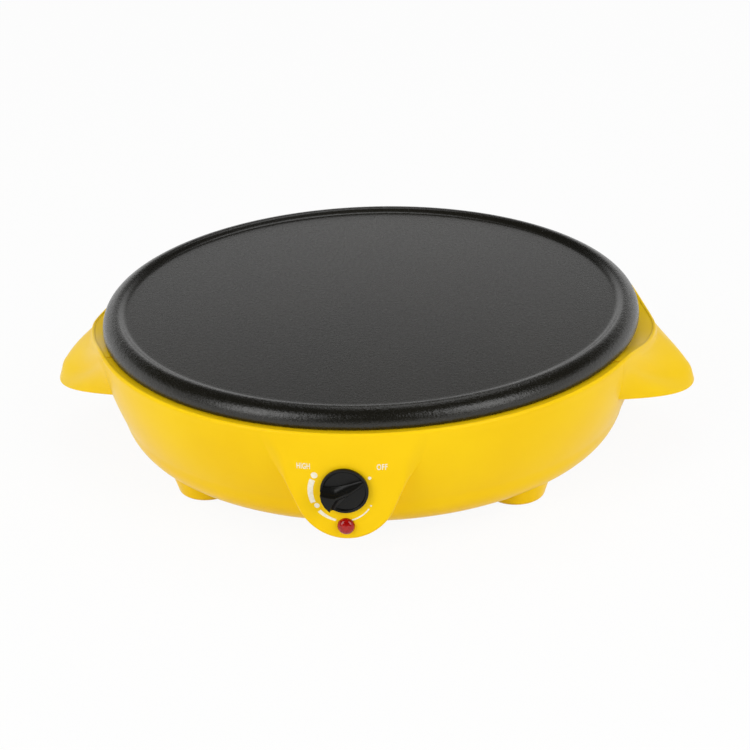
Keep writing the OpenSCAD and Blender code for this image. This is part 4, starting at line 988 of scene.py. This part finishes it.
# %% Arcs and dots
SCALE_X, SCALE_Z, SCALE_R = -1.4, KNOB_Z - 1.7 - PRINT_Z, 16.4


def flat_print(name, points, faces):
    """A flat mesh whose faces look to the front."""
    piece = add_mesh(name, points, faces)
    if piece.data.polygons[0].normal.y > 0:
        piece.data.flip_normals()
    return lay_on_boss(piece)


def arc_print(name, start, end, width0, width1, steps=40):
    """A band around the scale's centre between two angles, whose width runs from one to another."""
    points = []
    for i in range(steps + 1):
        a, w = math.radians(mix(start, end, i / steps)), mix(width0, width1, i / steps)
        for r in (SCALE_R - w / 2, SCALE_R + w / 2):
            points.append((SCALE_X + r * math.cos(a), 0, PRINT_Z + SCALE_Z + r * math.sin(a)))
    faces = [(2 * i, 2 * i + 1, 2 * i + 3, 2 * i + 2) for i in range(steps)]
    return flat_print(name, points, faces)


def dot_print(name, x, z, across, steps=40):
    """A round dot at (x, z)."""
    points = [(x + across / 2 * math.cos(a), 0, PRINT_Z + z + across / 2 * math.sin(a))
              for a in (2 * math.pi * i / steps for i in range(steps))]
    return flat_print(name, points, [tuple(range(steps))])


dot_print("high_dot", -15.4, -24.2, 3.5)
arc_print("thick_arc", 156, 203, 3.0, 2.7)
dot_print("middle_dot", -14.7, -41.5, 2.8, 36)
arc_print("tapering_arc", 222, 257, 2.2, 1.2)
arc_print("thin_arc", 286, 325, 0.8, 0.7)
dot_print("low_dot", 13.1, -41.2, 1.0, 24)
dot_print("off_dot", 12.9, -25.3, 1.8, 32)

# %% [markdown]
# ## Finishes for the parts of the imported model
# The feet, the bottom cover, the cord's gland, the screws and all that sits inside keep the
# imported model's own meshes, and only get a better finish. Metals have fine streaks from rolling
# or turning, ceramics a chalky mottle, rubber a dull bloom, and wires a soft sheen. Each finish
# is a node material on Object coordinates, so the pattern stays where it is when the part is used
# elsewhere.
# %% Metals, ceramics, rubber, glass and wires
def metal(name, dark, light, rough, stretch=(1.0, 1.0, 14.0)):
    """Bare metal with streaks that run across the stretched axis."""
    material, tree, shader = new_material(name)
    place = object_place(tree)
    mapping = add_node(tree, "ShaderNodeMapping", Vector=place, Scale=stretch)
    streaks = noise(tree, mapping.outputs["Vector"], 420.0, 4.0, 0.6)
    tint = ramp(tree, noise(tree, place, 60.0, 3.0), 0.3, 0.7, dark, light)
    give(shader, Base_Color=tint, Metallic=1.0, Roughness=remap(tree, streaks, 0, 1, *rough))
    relief(tree, shader, (streaks, 0.00001))
    return material


def matt(name, dark, light, rough, grain, scale=900.0):
    """A dull finish with a mottle and a grain: ceramic, rubber or the skin of a wire."""
    material, tree, shader = new_material(name)
    place = object_place(tree)
    mottle = ramp(tree, noise(tree, place, scale / 12, 4.0, 0.6), 0.3, 0.7, dark, light)
    give(shader, Base_Color=mottle, Roughness=rough)
    relief(tree, shader, (noise(tree, place, scale, 3.0), grain))
    return material


zinc_steel = metal("zinc_steel", (0.44, 0.45, 0.46), (0.56, 0.57, 0.58), (0.24, 0.42))
rolled_aluminium = metal("rolled_aluminium", (0.66, 0.67, 0.68), (0.78, 0.79, 0.80),
                         (0.22, 0.40), (1.0, 14.0, 1.0))
turned_brass = metal("turned_brass", (0.66, 0.44, 0.16), (0.76, 0.54, 0.22), (0.22, 0.36))
steatite = matt("steatite", (0.66, 0.63, 0.56), (0.76, 0.74, 0.68), 0.72, 0.00004)
foot_rubber = matt("foot_rubber", (0.014, 0.014, 0.014), (0.024, 0.023, 0.022), 0.82, 0.00003,
                   1600.0)
cover_black = moulded_plastic("cover_black", (0.013, 0.013, 0.013), (0.021, 0.021, 0.020),
                              (0.48, 0.62), 0.00002, 0.00003, 1500.0)
wires = {colour: matt(f"{colour}_insulation", dark, light, 0.45, 0.00001, 1200.0)
         for colour, dark, light in (
             ("brown", (0.10, 0.030, 0.012), (0.14, 0.045, 0.018)),
             ("blue", (0.010, 0.060, 0.26), (0.016, 0.085, 0.34)),
             ("green", (0.030, 0.22, 0.020), (0.045, 0.30, 0.030)),
             ("white", (0.66, 0.65, 0.61), (0.78, 0.77, 0.73)))}
neon_glass, tree, shader = new_material("neon_glass")
amber = ramp(tree, noise(tree, object_place(tree), 300.0), 0.3, 0.7,
             (0.85, 0.55, 0.40), (0.95, 0.75, 0.6))
give(shader, Base_Color=amber, Roughness=0.05, Transmission_Weight=0.8)
print("finishes ready")

# %% Each node gets its finish
FINISHES = (
    (zinc_steel, """heating_element element_terminals element_clips clip_screws plate_screws
        plate_spacers cover_screws handle_screws knob_clip thermostat_shaft bushing_nut
        thermostat_bracket bracket_screws thermostat_frame contact_buttons bimetal_strip stack_rivet
        lamp_ring block_screws fuse_clip earth_screw"""),
    (rolled_aluminium, "reflector_pan"),
    (turned_brass, """thermostat_bushing contact_blades terminal_screws earth_lug
        push_on_connectors"""),
    (steatite, """element_seals heat_washers thermostat_insulators lamp_resistor terminal_block
        thermal_fuse"""),
    (foot_rubber, "front_left_foot front_right_foot rear_left_foot rear_right_foot"),
    (cover_black, "bottom_cover cord_gland gland_nut"),
    (satin_black, "knob"),
    (yellow_plastic, "body_shell left_handle right_handle"),
    (nonstick, "griddle_plate"),
    (red_lens, "lamp_lens"),
    (neon_glass, "neon_lamp"),
    (wires["brown"], "live_wire fuse_wire element_wire"),
    (wires["blue"], "neutral_wire"),
    (wires["green"], "earth_wire"),
    (wires["white"], "lamp_wires"),
)
dressed = set()
for finish, names in FINISHES:
    for name in names.split():
        for material_slot in nodes[name].material_slots:
            material_slot.material = finish
        dressed.add(name)
print("nodes without a finish:", sorted(set(nodes) - dressed))
